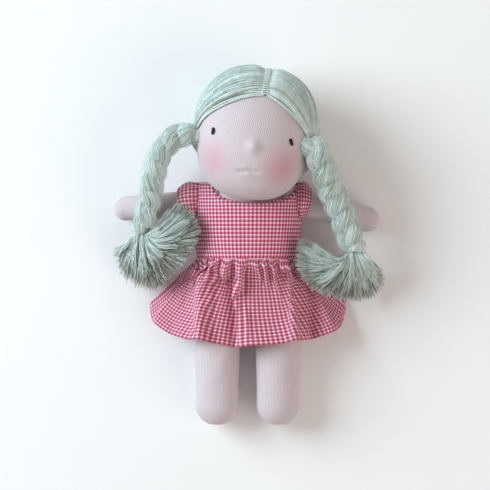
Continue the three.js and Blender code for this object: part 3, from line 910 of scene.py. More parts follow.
@dataclass
class Hair:
    """Yarn sewn down along a centre parting and drawn to a gather over each ear."""

    shape: HeadShape
    hairline: float = math.radians(34)
    nape: float = math.radians(216)
    parting: float = 2.2
    parting_shift: float = 3.0
    gather_radius: float = 8.0
    gather_drop: tuple[tuple[Side, float], ...] = ((Side.LEFT, 0.07), (Side.RIGHT, 0.16))
    gather_forward: tuple[tuple[Side, float], ...] = ((Side.LEFT, 0.42), (Side.RIGHT, 0.1))
    yarns: int = 112
    loose: int = 120
    wisps: int = 150
    yarn_radius: float = 0.78
    wisp_radius: float = 0.2
    steps: int = 22
    stitches: int = 84
    stitch_radius: float = 0.62
    shades: tuple[float, ...] = (0.54, 0.37, 0.09)

    def gather(self, side: Side) -> Vector:
        """The direction of the gather over an ear."""
        drop, forward = dict(self.gather_drop)[side], dict(self.gather_forward)[side]
        return Vector((side.value, -drop, forward)).normalized()

    def point(self, side: Side, along: float, towards: float, offset: float) -> Vector:
        """A point of a yarn.

        Args:
            side: The side of the head.
            along: The yarn's share of the way down the parting.
            towards: The point's share of the way to the gather.
            offset: How far off the skin.

        Returns:
            The point in the doll's space.
        """
        turn = lerp(self.hairline, self.nape, along)
        start = Vector((self.parting_shift / self.shape.half.x, math.sin(turn), math.cos(turn))).normalized()
        gather = self.gather(side)
        ring = (start - gather * start.dot(gather)).normalized()
        end = (gather + ring * (self.gather_radius / self.shape.half.z)).normalized()
        sweep = start.angle(end)
        yarn = start * math.sin((1 - towards) * sweep) + end * math.sin(towards * sweep)
        local = self.shape.out(yarn, offset)
        local.x += side.value * self.parting / 2 * (1 - towards)
        spot = self.shape.world(local)
        return Vector((spot.x, spot.y, max(spot.z, 0.3)))

    def build(self, stock: Wardrobe) -> None:
        """Builds both halves and the parting's stitches.

        Args:
            stock: The finishes.
        """
        for side in Side:
            self._half(side, stock)
        self._stitches(stock)

    def _half(self, side: Side, stock: Wardrobe) -> None:
        """Lays the yarns of one side over a felted backing.

        Args:
            side: The side of the doll.
            stock: The finishes.
        """
        dice = random.Random(11 + side.value)
        skein = Skein(f"{side.word}_hair_yarn")
        layers = [(i / (self.yarns - 1), 3.0, self.yarn_radius) for i in range(self.yarns)]
        layers += [(dice.random() * 0.96 + 0.03, 3.6, self.yarn_radius) for _ in range(self.loose)]
        layers += [(dice.random() * 0.98 + 0.01, 4.5, self.wisp_radius) for _ in range(self.wisps)]
        for along, height, thick in layers:
            drift = dice.uniform(-0.012, 0.012)
            rise = lerp(1.5, height, ease(min(along, 1 - along), 0.0, 0.05)) + dice.uniform(-0.4, 0.4)
            phase = dice.uniform(0, 6.28)
            points, radii = [], []
            for step in range(self.steps + 1):
                towards = 1.06 * step / self.steps
                sway = drift * math.sin(math.pi * towards) + 0.0022 * math.sin(9 * towards + phase)
                tuck = lerp(1.0, rise, ease(towards, 0.0, 0.12))
                points.append(self.point(side, along + sway, towards, tuck))
                slub = noise.noise(Vector((along * 60, step * 0.5, side.value)))
                radii.append(thick * (0.92 + 0.16 * slub))
            # The wisps are real loose fibres, always in the pale tint: painted highlight on the hair's fuzz.
            tint = Tint.PALE if thick == self.wisp_radius else dice.choices(DYED, self.shades)[0]
            skein.lay(points, radii, tint)
        backing = Workshop.sheet(
            60, 30,
            lambda u, v: self.point(side, u, v, 0.6 + 1.3 * ease(min(u, 1 - u), 0.0, 0.05)),
            lambda u, v: Vector((u, v, 0)),
            Vector((side.value, 0, 0)),
        )
        for face in backing.faces:
            face.material_index = Tint.DEEP.value
        hair = skein.build(*stock.yarn, backing=backing)
        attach(hair, "head")
        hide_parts(f"{side.word}_hair")

    def _stitches(self, stock: Wardrobe) -> None:
        """Sews small stitches across the parting.

        Args:
            stock: The finishes.
        """
        skein = Skein("parting_stitches")
        for number in range(self.stitches):
            along = lerp(0.004, 0.996, number / (self.stitches - 1))
            points = []
            for step in range(7):
                share = step / 6
                side = Side.RIGHT if share < 0.5 else Side.LEFT
                reach = abs(share - 0.5) * 0.05
                rise = 1.5 + 0.9 * math.sin(math.pi * share)
                points.append(self.point(side, along + (share - 0.5) * 0.008, reach, rise))
            skein.lay(points, [self.stitch_radius] * 7, Tint.PALE)
        sewn = skein.build(*stock.yarn)
        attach(sewn, "head")
        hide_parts("parting_stitch")


@dataclass
class Route:
    """A smooth line through points, measured along its length."""

    points: list[Vector]
    fine: int = 40

    def __post_init__(self) -> None:
        """Works out closely spaced points and their distances from the start."""
        ends = [self.points[0] * 2 - self.points[1], *self.points, self.points[-1] * 2 - self.points[-2]]
        self.line: list[Vector] = []
        for i in range(1, len(ends) - 2):
            a, b, c, d = ends[i - 1:i + 3]
            for step in range(self.fine):
                t = step / self.fine
                spot = b * 2 + (c - a) * t + (a * 2 - b * 5 + c * 4 - d) * t * t
                spot = spot + (b * 3 - a - c * 3 + d) * t ** 3
                self.line.append(spot * 0.5)
        self.line.append(self.points[-1].copy())
        self.run = [0.0]
        for first, second in zip(self.line, self.line[1:]):
            self.run.append(self.run[-1] + (second - first).length)

    @property
    def length(self) -> float:
        """The line's whole length."""
        return self.run[-1]

    def at(self, share: float) -> Vector:
        """The point at a share of the length.

        Args:
            share: The share.

        Returns:
            The point on the line.
        """
        goal = clamp(share) * self.length
        low, high = 0, len(self.run) - 1
        while high - low > 1:
            middle = (low + high) // 2
            low, high = (middle, high) if self.run[middle] <= goal else (low, middle)
        part = (goal - self.run[low]) / max(self.run[high] - self.run[low], 1e-9)
        return self.line[low].lerp(self.line[high], part)

    def frame(self, share: float) -> tuple[Vector, Vector, Vector]:
        """The line's own directions at a place.

        Args:
            share: The share of the line's length.

        Returns:
            The directions along, across and over the line.
        """
        along = (self.at(min(share + 0.004, 1)) - self.at(max(share - 0.004, 0))).normalized()
        across = Vector((0, 0, 1)).cross(along).normalized()
        return along, across, along.cross(across)


@dataclass
class Plait:
    """A three-strand plait with its wound tie and its tassel of loose ends."""

    side: Side
    hair: Hair
    seat: float
    knots: list[Vector]
    fan: tuple[float, float]
    reach: list[float]
    strand_radius: float = 6.9
    sway: float = 6.8
    lift: float = 2.5
    bulge: float = 0.28
    pitch: float = 44.0
    tied: float = 0.62
    rooted: float = 0.7
    depth: float = 0.84
    girth: float = 1.0
    taper: float = 15.0
    rolls: tuple[float, float] = (0.0, 0.0)
    yarn_radius: float = 0.68
    yarns: int = 33
    wisps: int = 150
    ends: int = 1500
    locks: int = 30
    lock_yarns: int = 30
    # Share of the dark cut-end tint in the brush: darker cut ends, with painted shade.
    dusty: float = 0.15
    tie_size: float = 0.9
    steps: int = 74
    core: float = 0.88
    flatness: float = 0.9
    wisp_radius: float = 0.16
    wisp_steps: int = 9
    tie_steps: int = 72
    end_steps: int = 8
    bend_start: float = 0.08
    bend_end: float = 0.6
    shades: tuple[float, ...] = (0.46, 0.42, 0.12)
    # The locks on top lean pale: painted light on the tassel's top layer.
    lock_shades: tuple[float, ...] = (0.68, 0.3, 0.02)

    def __post_init__(self) -> None:
        """Draws the line along the plait's middle."""
        shape = self.hair.shape
        root = shape.out(self.hair.gather(self.side), self.seat)
        self.route = Route([shape.world(root * self.depth), shape.world(root), *self.knots])

    def size(self, share: float) -> float:
        """How large the plait is near its two ends.

        Args:
            share: The share of its length.

        Returns:
            The share of its full size.
        """
        run = self.route.length
        begun = self.girth * lerp(self.rooted, 1.0, ease(share * run, 0, self.taper))
        return begun * lerp(self.tied, 1.0, ease((1 - share) * run, 0, self.taper))

    def phase(self, number: int, share: float) -> float:
        """How far one strand is through its weave."""
        return FULL_TURN * (share * self.route.length / self.pitch + number / 3)

    def strand_point(self, number: int, share: float) -> Vector:
        """A point along the middle of one strand.

        Args:
            number: The strand, from 0.
            share: The share of the plait's length.

        Returns:
            The point in the doll's space.
        """
        _, across, over = self.route.frame(share)
        phase = self.phase(number, share)
        size = self.size(share)
        aside = self.side.value * self.sway * size * math.sin(phase)
        rise = self.lift * size * math.sin(2 * phase)
        roll = lerp(self.rolls[0], self.rolls[1], share)
        turned = across * (aside * math.cos(roll) - rise * math.sin(roll))
        return self.route.at(share) + turned + over * (aside * math.sin(roll) + rise * math.cos(roll))

    def build(self, stock: Wardrobe) -> None:
        """Builds the strands, the tie and the tassel.

        Args:
            stock: The finishes.
        """
        start = self.route.at(self.bend_start) * MM
        end = self.route.at(self.bend_end) * MM
        for number in range(3):
            strand = self._strand(number, stock)
            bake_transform(strand)
            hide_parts(f"{self.side.word}_plait_strand_{number + 1}")
        tie = self._tie(stock)
        tassel = self._tassel(stock)
        for piece, node in ((tie, "plait_tie"), (tassel, "tassel")):
            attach(piece, "torso")
            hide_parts(f"{self.side.word}_{node}")

    def _beside(self, middle: Vector, ahead: Vector, out: float, turn: float) -> Vector:
        """A point beside the middle of a strand.

        Args:
            middle: The point in the strand's middle.
            ahead: The strand's direction there.
            out: The distance from the middle.
            turn: The turn round the strand.

        Returns:
            The point in the doll's space.
        """
        across = Vector((0, 0, 1)).cross(ahead).normalized()
        over = ahead.cross(across)
        return middle + across * (out * math.cos(turn)) + over * (self.flatness * out * math.sin(turn))

    def _strand(self, number: int, stock: Wardrobe) -> bpy.types.Object:
        """Lays the yarns of one strand round a full core.

        Args:
            number: The strand, from 0.
            stock: The finishes.

        Returns:
            The strand.
        """
        dice = random.Random(40 + number + 3 * self.side.value)
        skein = Skein(f"{self.side.word}_plait_yarn_{number + 1}")
        steps = self.steps
        shares = [i / steps for i in range(steps + 1)]
        middles = [self.strand_point(number, share) for share in shares]
        sizes = [self.size(s) * (1 - self.bulge * math.sin(self.phase(number, s))) for s in shares]
        skein.lay(middles, [self.core * self.strand_radius * s for s in sizes], Tint.MIDDLE)
        for yarn in range(self.yarns):
            begin = FULL_TURN * (yarn + dice.uniform(-0.2, 0.2)) / self.yarns
            ride = dice.uniform(-0.35, 0.3)
            points, radii = [], []
            for i in range(steps + 1):
                ahead = (middles[min(i + 1, steps)] - middles[max(i - 1, 0)]).normalized()
                slub = noise.noise(Vector((begin * 5, i * 0.16, number)))
                out = (self.strand_radius - self.yarn_radius + ride + 0.3 * slub) * sizes[i]
                points.append(self._beside(middles[i], ahead, out, begin + 1.6 * i / steps))
                radii.append(self.yarn_radius * (1 + 0.15 * slub) * lerp(0.75, 1.0, sizes[i]))
            skein.lay(points, radii, dice.choices(DYED, self.shades)[0])
        for _ in range(self.wisps):
            first = dice.randrange(4, steps - 12)
            turn, lift = dice.uniform(0, FULL_TURN), dice.uniform(0.5, 1.9)
            points = []
            for i in range(first, first + self.wisp_steps):
                ahead = (middles[i + 1] - middles[i - 1]).normalized()
                out = (self.strand_radius + lift * ease(i, first, first + self.wisp_steps)) * sizes[i]
                points.append(self._beside(middles[i], ahead, out, turn + 0.08 * (i - first)))
            # Real loose fibres, always in the pale tint: painted highlight on the plait's fuzz.
            skein.lay(points, [self.wisp_radius] * self.wisp_steps, Tint.PALE)
        return skein.build(*stock.yarn)

    def _tie(self, stock: Wardrobe) -> bpy.types.Object:
        """Winds a few turns of yarn round the plait's end.

        Args:
            stock: The finishes.

        Returns:
            The tie.
        """
        skein = Skein(f"{self.side.word}_plait_winding")
        share = 1 - 1.6 / self.route.length
        along, across, over = self.route.frame(share)
        middle = self.route.at(share)
        radius = self.tied * (self.sway + self.strand_radius) * self.tie_size
        points = []
        for step in range(self.tie_steps + 1):
            turn = FULL_TURN * 3 * step / self.tie_steps
            spot = middle + along * ((step / self.tie_steps - 0.5) * 3.4)
            points.append(spot + across * (radius * math.cos(turn)) + over * (radius * math.sin(turn)))
        skein.lay(points, [1.0] * len(points), Tint.MIDDLE)
        return skein.build(*stock.yarn)

    def _rest(self, x: float) -> float:
        """The height at which loose yarn rests, over the dress and beside it."""
        return DRESS_TOP * between(DRESS_FALL, abs(x) / DRESS_REACH)

    def _edge(self, share: float) -> float:
        """How far the tassel reaches at a share of its way round."""
        return between(self.reach, share)

    def _tassel(self, stock: Wardrobe) -> bpy.types.Object:
        """Fans the loose ends out from the tie: a brush of cut ends with longer locks over it. The brush is
        tinted darker, as painted shade under the locks, and the locks paler, as painted light on top.

        Args:
            stock: The finishes.

        Returns:
            The tassel.
        """
        dice = random.Random(70 + self.side.value)
        skein = Skein(f"{self.side.word}_tassel_yarn", sides=4)
        for number in range(self.ends):
            share = clamp((number * 0.61803) % 1.0 + dice.uniform(-0.02, 0.02))
            layer = dice.uniform(0.0, 0.55)
            far = self._edge(share) * dice.uniform(0.8, 1.02)
            # The brush leans to the deep and cut-end tints, most in the fan's middle: painted shade under the
            # locks.
            shaded_cut = self.dusty * lerp(0.2, 1.0, bell(share - 0.45, 0.25))
            shades = (0.12, 0.5 - 0.5 * shaded_cut, 0.38 - 0.3 * shaded_cut, 0.9 * shaded_cut)
            tint = dice.choices(list(Tint), shades)[0]
            self._end(skein, share, layer, far, dice.uniform(-5.0, 5.0), tint, dice)
        for lock in range(self.locks):
            middle = (lock + dice.uniform(0.2, 0.8)) / self.locks
            reach = dice.uniform(0.6, 0.92) - 0.3 * self.dusty * bell(middle - 0.5, 0.3)
            curl = dice.uniform(-7.0, 7.0)
            height = dice.uniform(0.72, 1.0)
            for _ in range(self.lock_yarns):
                share = clamp(middle + dice.gauss(0, 0.5 / self.locks))
                far = self._edge(share) * reach * dice.uniform(0.94, 1.05)
                tint = dice.choices(DYED, self.lock_shades)[0]
                layer = height + dice.uniform(-0.22, 0.08)
                self._end(skein, share, layer, far, curl + dice.uniform(-0.8, 0.8), tint, dice)
        return skein.build(*stock.yarn)

    def _end(
        self, skein: Skein, share: float, layer: float, far: float, curl: float, tint: Tint,
        dice: random.Random,
    ) -> None:
        """Lays one loose end from the tie out to its tip.

        Args:
            skein: The skein that it joins.
            share: Its share of the way round the fan.
            layer: Its height in the tassel, from 0 below to 1 on top.
            far: How far its tip is from the tie.
            curl: How far it bows to one side.
            tint: Its shade.
            dice: The source of its small differences.
        """
        tie = self.route.at(1.0)
        along, across, over = self.route.frame(1.0)
        turn = lerp(self.fan[0], self.fan[1], share)
        way = Vector((math.cos(turn), math.sin(turn), 0))
        lean = across.dot(way)
        start = tie + along * 0.6 + across * (11.0 * self.tied * lean)
        start = start + over * lerp(-5.0, 8.0 * self.tied, layer)
        tip = Vector((tie.x + far * way.x, tie.y + far * way.y, 0))
        tip.z = self._rest(tip.x) + 1.4 + lerp(0.0, 9.0, layer)
        bend = tie + along * 11.0 + across * (15.0 * self.tied * lean) + way * (0.2 * far)
        bend.z = max(start.z, self._rest(bend.x)) + lerp(-1.0, 11.0, layer)
        aside = Vector((-way.y, way.x, 0))
        points, radii = [], []
        thick = dice.uniform(0.28, 0.42)
        phase = dice.uniform(0, 6.28)
        for step in range(self.end_steps + 1):
            t = step / self.end_steps
            spot = start * (1 - t) ** 2 + bend * (2 * t * (1 - t)) + tip * t * t
            spot += aside * (curl * t * t + 1.5 * t * math.sin(7.0 * t + phase))
            spot.z += 1.3 * t * math.cos(6.0 * t + phase)
            spot.z = max(spot.z, self._rest(spot.x) + 1.1)
            points.append(spot)
            radii.append(thick * (1 - 0.5 * t ** 4))
        skein.lay(points, radii, tint)


@dataclass
class Limb:
    """A stuffed jersey tube with a rounded end, hung at its seam."""

    name: str
    body: str
    pivot: Vector
    way: Vector
    radius: float
    length: float
    end: float

    def build(self, stock: Wardrobe) -> None:
        """Builds and dresses the limb.

        Args:
            stock: The finishes.
        """
        axis = self.way.normalized()
        across = axis.cross(Vector((0, 0, 1))).normalized()
        over = across.cross(axis)
        tip = self.length - self.end

        def place(turn: float, share: float) -> Vector:
            """The skin's point.

            Args:
                turn: The turn round the limb.
                share: The share of the way from its seam's end to its tip.

            Returns:
                The point in the doll's space.
            """
            if share < 0.16:
                level = lerp(-math.pi / 2, 0, share / 0.16)
                reach, run = self.radius * math.cos(level), self.radius * math.sin(level)
            elif share < 0.7:
                part = (share - 0.16) / 0.54
                reach, run = lerp(self.radius, self.end, 0.8 * part ** 1.3), tip * part
            else:
                level = lerp(0, math.pi / 2, (share - 0.7) / 0.3)
                reach = lerp(self.radius, self.end, 0.8 + 0.2 * (share - 0.7) / 0.3)
                reach *= max(math.cos(level), 0) ** 0.82
                run = tip + self.end * math.sin(level)
            round_way = across * math.cos(turn) + over * math.sin(turn)
            lump = 0.7 * noise.noise(round_way * 1.1 + Vector((run * 0.05, self.pivot.x, 0)))
            return self.pivot + axis * run + round_way * max(reach + lump * min(reach / 8, 1), 0)

        width = FULL_TURN * self.radius * MM
        height = (self.length + self.radius) * MM
        form = Workshop.ball(84, 96, place, lambda u, v: Vector((u * width, v * height, 0)))
        limb = Workshop.piece(f"{self.name}_jersey", form, stock.skin)
        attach(limb, self.body)
        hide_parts(f"{self.name}_skin")


@dataclass
class Torso:
    """The stuffed body under the dress."""

    half: Vector = field(default_factory=lambda: Vector((37.0, 31.5, 22.0)))
    middle: Vector = field(default_factory=lambda: Vector((0.0, 1.5, 25.9)))
    fullness: float = 4.0
    collar: float = 4.4

    def build(self, stock: Wardrobe) -> None:
        """Builds and dresses the body.

        Args:
            stock: The finishes.
        """
        def place(turn: float, share: float) -> Vector:
            """The skin's point.

            Args:
                turn: The turn round the body.
                share: The share of the way from its foot to its top.

            Returns:
                The point in the doll's space.
            """
            level = lerp(-math.pi / 2, math.pi / 2, share)
            power = 2 / self.fullness
            reach = max(math.cos(level), 0) ** power
            rise = math.copysign(abs(math.sin(level)) ** power, level)
            p = self.middle + Vector((
                self.half.x * reach * math.sin(turn),
                self.half.y * rise,
                -self.half.z * reach * math.cos(turn),
            ))
            if math.cos(turn) < 0:
                p.z += self.collar * bell(math.hypot(p.x + 20, p.y - 29), 12)
            return p

        form = Workshop.ball(96, 60, place, lambda u, v: Vector((u * 0.19, v * 0.09, 0)))
        body = Workshop.piece("torso_jersey", form, stock.skin)
        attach(body, "torso")
        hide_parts("torso_skin")


@dataclass
class Drape:
    """Settles a gathered tube of cloth by simulation, worked at ten times its size."""

    columns: int = 264
    rows: int = 46
    scale: float = 0.01
    frames: int = 36
    hold: float = 0.028
    hem_hold: float = 0.2
    cap: float = 10.0
    leg: float = 19.6
    ground: float = 0.9

    def settle(self, place: Place, width: float, length: float) -> list[list[Vector]]:
        """Lets the cloth find its own folds.

        Args:
            place: The starting point for shares round the tube and from hem to waist.
            width: The width that the cloth was cut to, all round.
            length: The length that it was cut to.

        Returns:
            The settled points by column and row, in millimetres.
        """
        form = bmesh.new()
        bmesh.ops.create_grid(form, x_segments=self.columns, y_segments=self.rows, size=0.5)
        shares = [(vert.co.x + 0.5, vert.co.y + 0.5) for vert in form.verts]
        starts = [place(u, v) for u, v in shares]
        for vert, start in zip(form.verts, starts):
            vert.co = start * self.scale
        mesh = bpy.data.meshes.new("settling")
        form.to_mesh(mesh)
        form.free()
        tube = bpy.data.objects.new("settling", mesh)
        bpy.context.scene.collection.objects.link(tube)
        tube.shape_key_add(name="gathered")
        cut = tube.shape_key_add(name="cut")
        radius = width * self.scale / FULL_TURN
        for knot, (u, v) in zip(cut.data, shares):
            turn = FULL_TURN * (u - 0.5)
            knot.co = (radius * math.sin(turn), v * length * self.scale, radius * math.cos(turn))
        held = tube.vertex_groups.new(name="held")
        for index, (u, v) in enumerate(shares):
            seam = v > 1 - 0.5 / self.rows or abs(u - 0.5) > 0.5 - 0.5 / self.columns
            held.add([index], 1.0 if seam else self.hold + self.hem_hold * bell(v, 0.12), "REPLACE")
        self._rules(tube, held, cut)
        for frame in range(1, self.frames + 1):
            bpy.context.scene.frame_set(frame)
        shown = tube.evaluated_get(bpy.context.evaluated_depsgraph_get())
        ends = [vert.co / self.scale for vert in shown.data.vertices]
        bpy.context.scene.frame_set(1)
        bpy.data.objects.remove(tube)
        grid = [[Vector() for _ in range(self.rows + 1)] for _ in range(self.columns + 1)]
        for (u, v), start, end in zip(shares, starts, ends):
            moved = end - start
            if moved.length > self.cap:
                moved *= self.cap / moved.length
            settled = Drape.clear(start + moved, self.leg)
            settled.z = max(settled.z, self.ground)
            grid[round(u * self.columns)][round(v * self.rows)] = settled
        LOG.info("skirt settled")
        return grid

    @staticmethod
    def _rules(tube: bpy.types.Object, held: bpy.types.VertexGroup, cut: bpy.types.ShapeKey) -> None:
        """Makes the tube a light cotton cloth.

        Args:
            tube: The tube.
            held: How firmly each of its points is held.
            cut: The shape that the cloth was cut to.
        """
        cloth = tube.modifiers.new("settle", "CLOTH")
        rules = cloth.settings
        rules.quality = 6
        rules.mass = 0.25
        rules.tension_stiffness = rules.compression_stiffness = 34.0
        rules.shear_stiffness = 8.0
        rules.bending_stiffness = 0.4
        rules.air_damping = 0.4
        rules.vertex_group_mass = held.name
        rules.pin_stiffness = 1.0
        rules.rest_shape_key = cut
        rules.effector_weights.gravity = 0.15
        cloth.collision_settings.use_collision = False

    @staticmethod
    def clear(point: Vector, leg: float) -> Vector:
        """Lifts a point of the cloth's front off the leg beneath it.

        Args:
            point: The point.
            leg: The leg's radius with the room to leave.

        Returns:
            The point, lifted where it has to be.
        """
        aside, past = abs(point.x) - HIP_ASIDE, max(0.0, point.y - HIP_LINE)
        rise = leg * leg - aside * aside - past * past
        if point.z < 20 or rise < 0:
            return point
        return Vector((point.x, point.y, max(point.z, HIP_HEIGHT + math.sqrt(rise))))


@dataclass
class Dress:
    """A gingham dress: bodice, cap sleeves and a gathered skirt."""

    cotton: float = 0.8
    chest: float = 46.0
    waist: float = 39.5
    depth: float = 27.5
    level: float = 27.0
    shoulder: float = 38.6
    roll: float = 25.0
    waist_line: float = -23.0
    neck_shift: float = 5.5
    neck_width: float = 34.0
    neck_drop: float = 16.4
    armhole: float = 40.0
    sleeve_line: float = 23.0
    sleeve_height: float = 15.0
    sleeve_depth: float = 15.55
    sleeve_seam: float = 12.0
    sleeve_lengths: tuple[tuple[Side, float], ...] = ((Side.LEFT, 12.0), (Side.RIGHT, 17.0))
    sleeve_underarm: float = 6.0
    opening: float = -5.0
    wrap: float = 42.5
    front_length: float = 71.5
    side_length: float = 35.0
    hem_width: float = 79.5
    hem_front: float = 46.0
    hem_side: float = 8.0
    skirt_cut: float = 192.0
    skirt_length: float = 80.0
    drape: Drape = field(default_factory=Drape)

    def build(self, stock: Wardrobe) -> None:
        """Builds and dresses every piece of the dress.

        Args:
            stock: The finishes.
        """
        self._bodice(stock)
        for side, length in self.sleeve_lengths:
            self._sleeve(side, length, stock)
        grid = self.drape.settle(self._gathered, 2 * self.skirt_cut, self.skirt_length)
        for side in Side:
            self._skirt(side, grid, stock)

    def _gathered(self, u: float, v: float) -> Vector:
        """The skirt's point before it settles, for shares round it and from hem to waist."""
        return Drape.clear(self.skirt_point(lerp(-math.pi, math.pi, u), 1 - v), self.drape.leg + 1.0)

    def section(self, y: float) -> tuple[float, float]:
        """The bodice's half sizes at a height.

        Args:
            y: The height.

        Returns:
            Half width and half depth.
        """
        rise = clamp((y - self.waist_line) / (self.shoulder - self.waist_line))
        over = clamp((y - self.shoulder + self.roll) / self.roll)
        return lerp(self.waist, self.chest, math.sqrt(rise)), self.depth * math.sqrt(max(1 - over * over, 0))

    def shell(self, turn: float, y: float) -> Vector:
        """A point of the bodice, by its turn from the front and its height."""
        width, depth = self.section(y)
        return Vector((width * math.sin(turn), y, max(self.level + depth * math.cos(turn), 0.0)))

    def top(self, turn: float) -> float:
        """The height at which a line up the bodice meets its neckline, armhole or shoulder.

        Args:
            turn: The line's turn from the front.

        Returns:
            The height.
        """
        y = self.waist_line
        while y < self.shoulder - 0.4:
            p = self.shell(turn, y)
            neck = abs((p.x - self.neck_shift) / self.neck_width) ** 2.5
            neck += abs((y - self.shoulder) / self.neck_drop) ** 2.5
            arm = ((y - self.sleeve_line) / self.sleeve_height) ** 2
            arm += ((p.z - self.level) / self.sleeve_depth) ** 2
            if neck < 1 or (abs(p.x) > self.armhole and arm < 1):
                break
            y += 0.2
        return y

    def _bodice(self, stock: Wardrobe) -> None:
        """Cuts the front and the two halves of the back.

        Args:
            stock: The finishes.
        """
        quarter = math.pi / 2
        split = math.pi + math.asin(-self.opening / self.chest)
        panels = {
            "bodice_front": (-quarter, quarter, Vector((0, 0, 1)), (0.116, 0.062), 0.0056),
            "bodice_back_left": (quarter, split - 0.004, Vector((0, 0, -1)), (0.062, 0.058), 0.0029),
            "bodice_back_right": (split + 0.004, 3 * quarter, Vector((0, 0, -1)), (0.055, 0.058), 0.0026),
        }
        for name, (first, last, outward, flat, area) in panels.items():
            tops: dict[float, float] = {}

            def spot(u: float, v: float) -> tuple[float, float]:
                """The place on the bodice's shell.

                Args:
                    u: The share across.
                    v: The share up.

                Returns:
                    The turn from the front and the height.
                """
                turn = round(lerp(first, last, u), 5)
                if turn not in tops:
                    tops[turn] = self.top(turn)
                return turn, lerp(self.waist_line, tops[turn], v)

            def place(u: float, v: float) -> Vector:
                """The panel's point.

                Args:
                    u: The share across.
                    v: The share up.

                Returns:
                    The point in the doll's space.
                """
                turn, y = spot(u, v)
                p = self.shell(turn, y)
                crease = 0.7 * noise.noise(Vector((p.x * 0.07, y * 0.045, p.z * 0.05)))
                crease += 0.35 * noise.noise(Vector((p.x * 0.2, y * 0.09, 3.0)))
                out = Vector((math.sin(turn), 0, math.cos(turn)))
                arm = ease(abs(p.x - self.neck_shift), self.neck_width - 3, self.neck_width + 2)
                rolled = lerp(-2.4, -0.5, arm) * ease(v, 0.93, 1.0) ** 2
                rolled += lerp(0.7, 0.1, arm) * bell(v - 0.93, 0.05)
                return p + out * (crease + rolled if outward.z > 0 else 0)

            def cloth(u: float, v: float) -> Vector:
                """The point on the flat cloth, in metres."""
                turn, y = spot(u, v)
                return Vector((turn * self.wrap * MM, (y + 0.12 * max(y - 14, 0)) * MM, 0))

            form = Workshop.sheet(108, 60, place, cloth, outward)
            panel = Workshop.piece(f"{name}_cotton", form, stock.gingham)
            Workshop.thicken(panel, self.cotton)
            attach(panel, "torso")
            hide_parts(name)

    def _sleeve(self, side: Side, length: float, stock: Wardrobe) -> None:
        """Sets one cap sleeve into its armhole.

        Args:
            side: The side of the doll.
            length: How far it reaches past the armhole.
            stock: The finishes.
        """
        def place(u: float, v: float) -> Vector:
            """The sleeve's point.

            Args:
                u: The share round the armhole.
                v: The share from the seam to the hem.

            Returns:
                The point in the doll's space.
            """
            turn = FULL_TURN * u
            pucker = 0.7 * math.sin(17 * turn) * bell(v - 0.12, 0.3) * ease(math.cos(turn), -0.5, 0.4)
            puff = 0.06 * math.sin(math.pi * min(v * 1.15, 1)) - 0.16 * v ** 3
            flare = 1 + puff + pucker / self.sleeve_height
            y = self.sleeve_height * flare * math.cos(turn)
            z = lerp(self.sleeve_seam, self.sleeve_depth, ease(v, 0.0, 0.5)) * flare * math.sin(turn)
            width, depth = self.section(min(self.sleeve_line + y, self.shoulder - 1))
            wall = width * math.sqrt(max(1 - (z / max(depth, 1)) ** 2, 0)) - 2.4
            seam = max(wall, self.armhole - 0.6)
            cap = 0.5 + 0.5 * math.cos(turn)
            end = self.armhole + lerp(self.sleeve_underarm, length, math.sin(math.pi * cap ** 0.8 * 0.62))
            x = lerp(seam, max(end, seam + 3), v)
            drop = 2.2 * v * v * cap
            return Vector((side.value * x, self.sleeve_line + y - drop, self.level + z))

        around = FULL_TURN * self.sleeve_height * MM
        form = Workshop.sheet(
            96, 14, place, lambda u, v: Vector((u * around, v * 0.0185, 0)), Vector((side.value, 0, 0)),
        )
        bmesh.ops.recalc_face_normals(form, faces=form.faces)
        cap = Workshop.piece(f"{side.word}_sleeve_cotton", form, stock.gingham)
        Workshop.thicken(cap, self.cotton)
        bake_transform(cap)
        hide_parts(f"{side.word}_sleeve")

    def folds(self, turn: float, share: float) -> float:
        """How far the gathers and folds stand off the skirt's plain form.

        Args:
            turn: The turn from the front.
            share: The share of the way from waist to hem.

        Returns:
            The distance outwards.
        """
        drift = 2.6 * noise.noise(Vector((3 * math.sin(turn), 3 * math.cos(turn), 7.0)))
        gathers = math.sin(17 * turn + 3.4 * drift + 1.6 * share) + 0.45 * math.sin(29 * turn + 2 * drift)
        frill = (4.2 + 1.2 * drift) * gathers * ease(share, 0.0, 0.07) * bell(share - 0.05, 0.26)
        puff = 6.6 * ease(share, 0.0, 0.09) * bell(share - 0.14, 0.2)
        loose = 3.0 * noise.noise(Vector((2.3 * math.sin(turn), 2.3 * math.cos(turn), 1.1 * share + 4.0)))
        hang = 2.4 * math.cos(11 * turn + 0.6) * ease(share, 0.2, 1.0) * (0.3 + 0.7 * abs(math.sin(turn)))
        if math.cos(turn) < 0:
            return frill + puff + loose + hang
        x = lerp(self.waist, self.hem_width, share ** 0.8) * math.sin(turn)
        low = ease(share, 0.16, 0.36)
        crest = 10.5 * bell(x + 38, 7) * ease(share, 0.02, 0.3)
        trough = -12.0 * low * (ease(x, -32, -25) - ease(x, -13, -5))
        trough += 4.5 * low * ease(x, -6, 2) * ease(40 - x, -4, 6)
        band = 7.5 * bell(x + 9 + 12 * (share - 0.4), 4.2) * bell(share - 0.36, 0.16)
        valley = -7.0 * bell(x + 1.5, 2.8) * ease(share, 0.03, 0.12) * bell(share - 0.2, 0.2)
        far = 4.5 * bell(x - 39, 5) * ease(share, 0.1, 0.4)
        far -= 9.0 * ease(share, 0.08, 0.35) * bell(x - 50 - 4 * share, 6)
        return frill + puff + loose + hang + crest + trough + band + valley + far

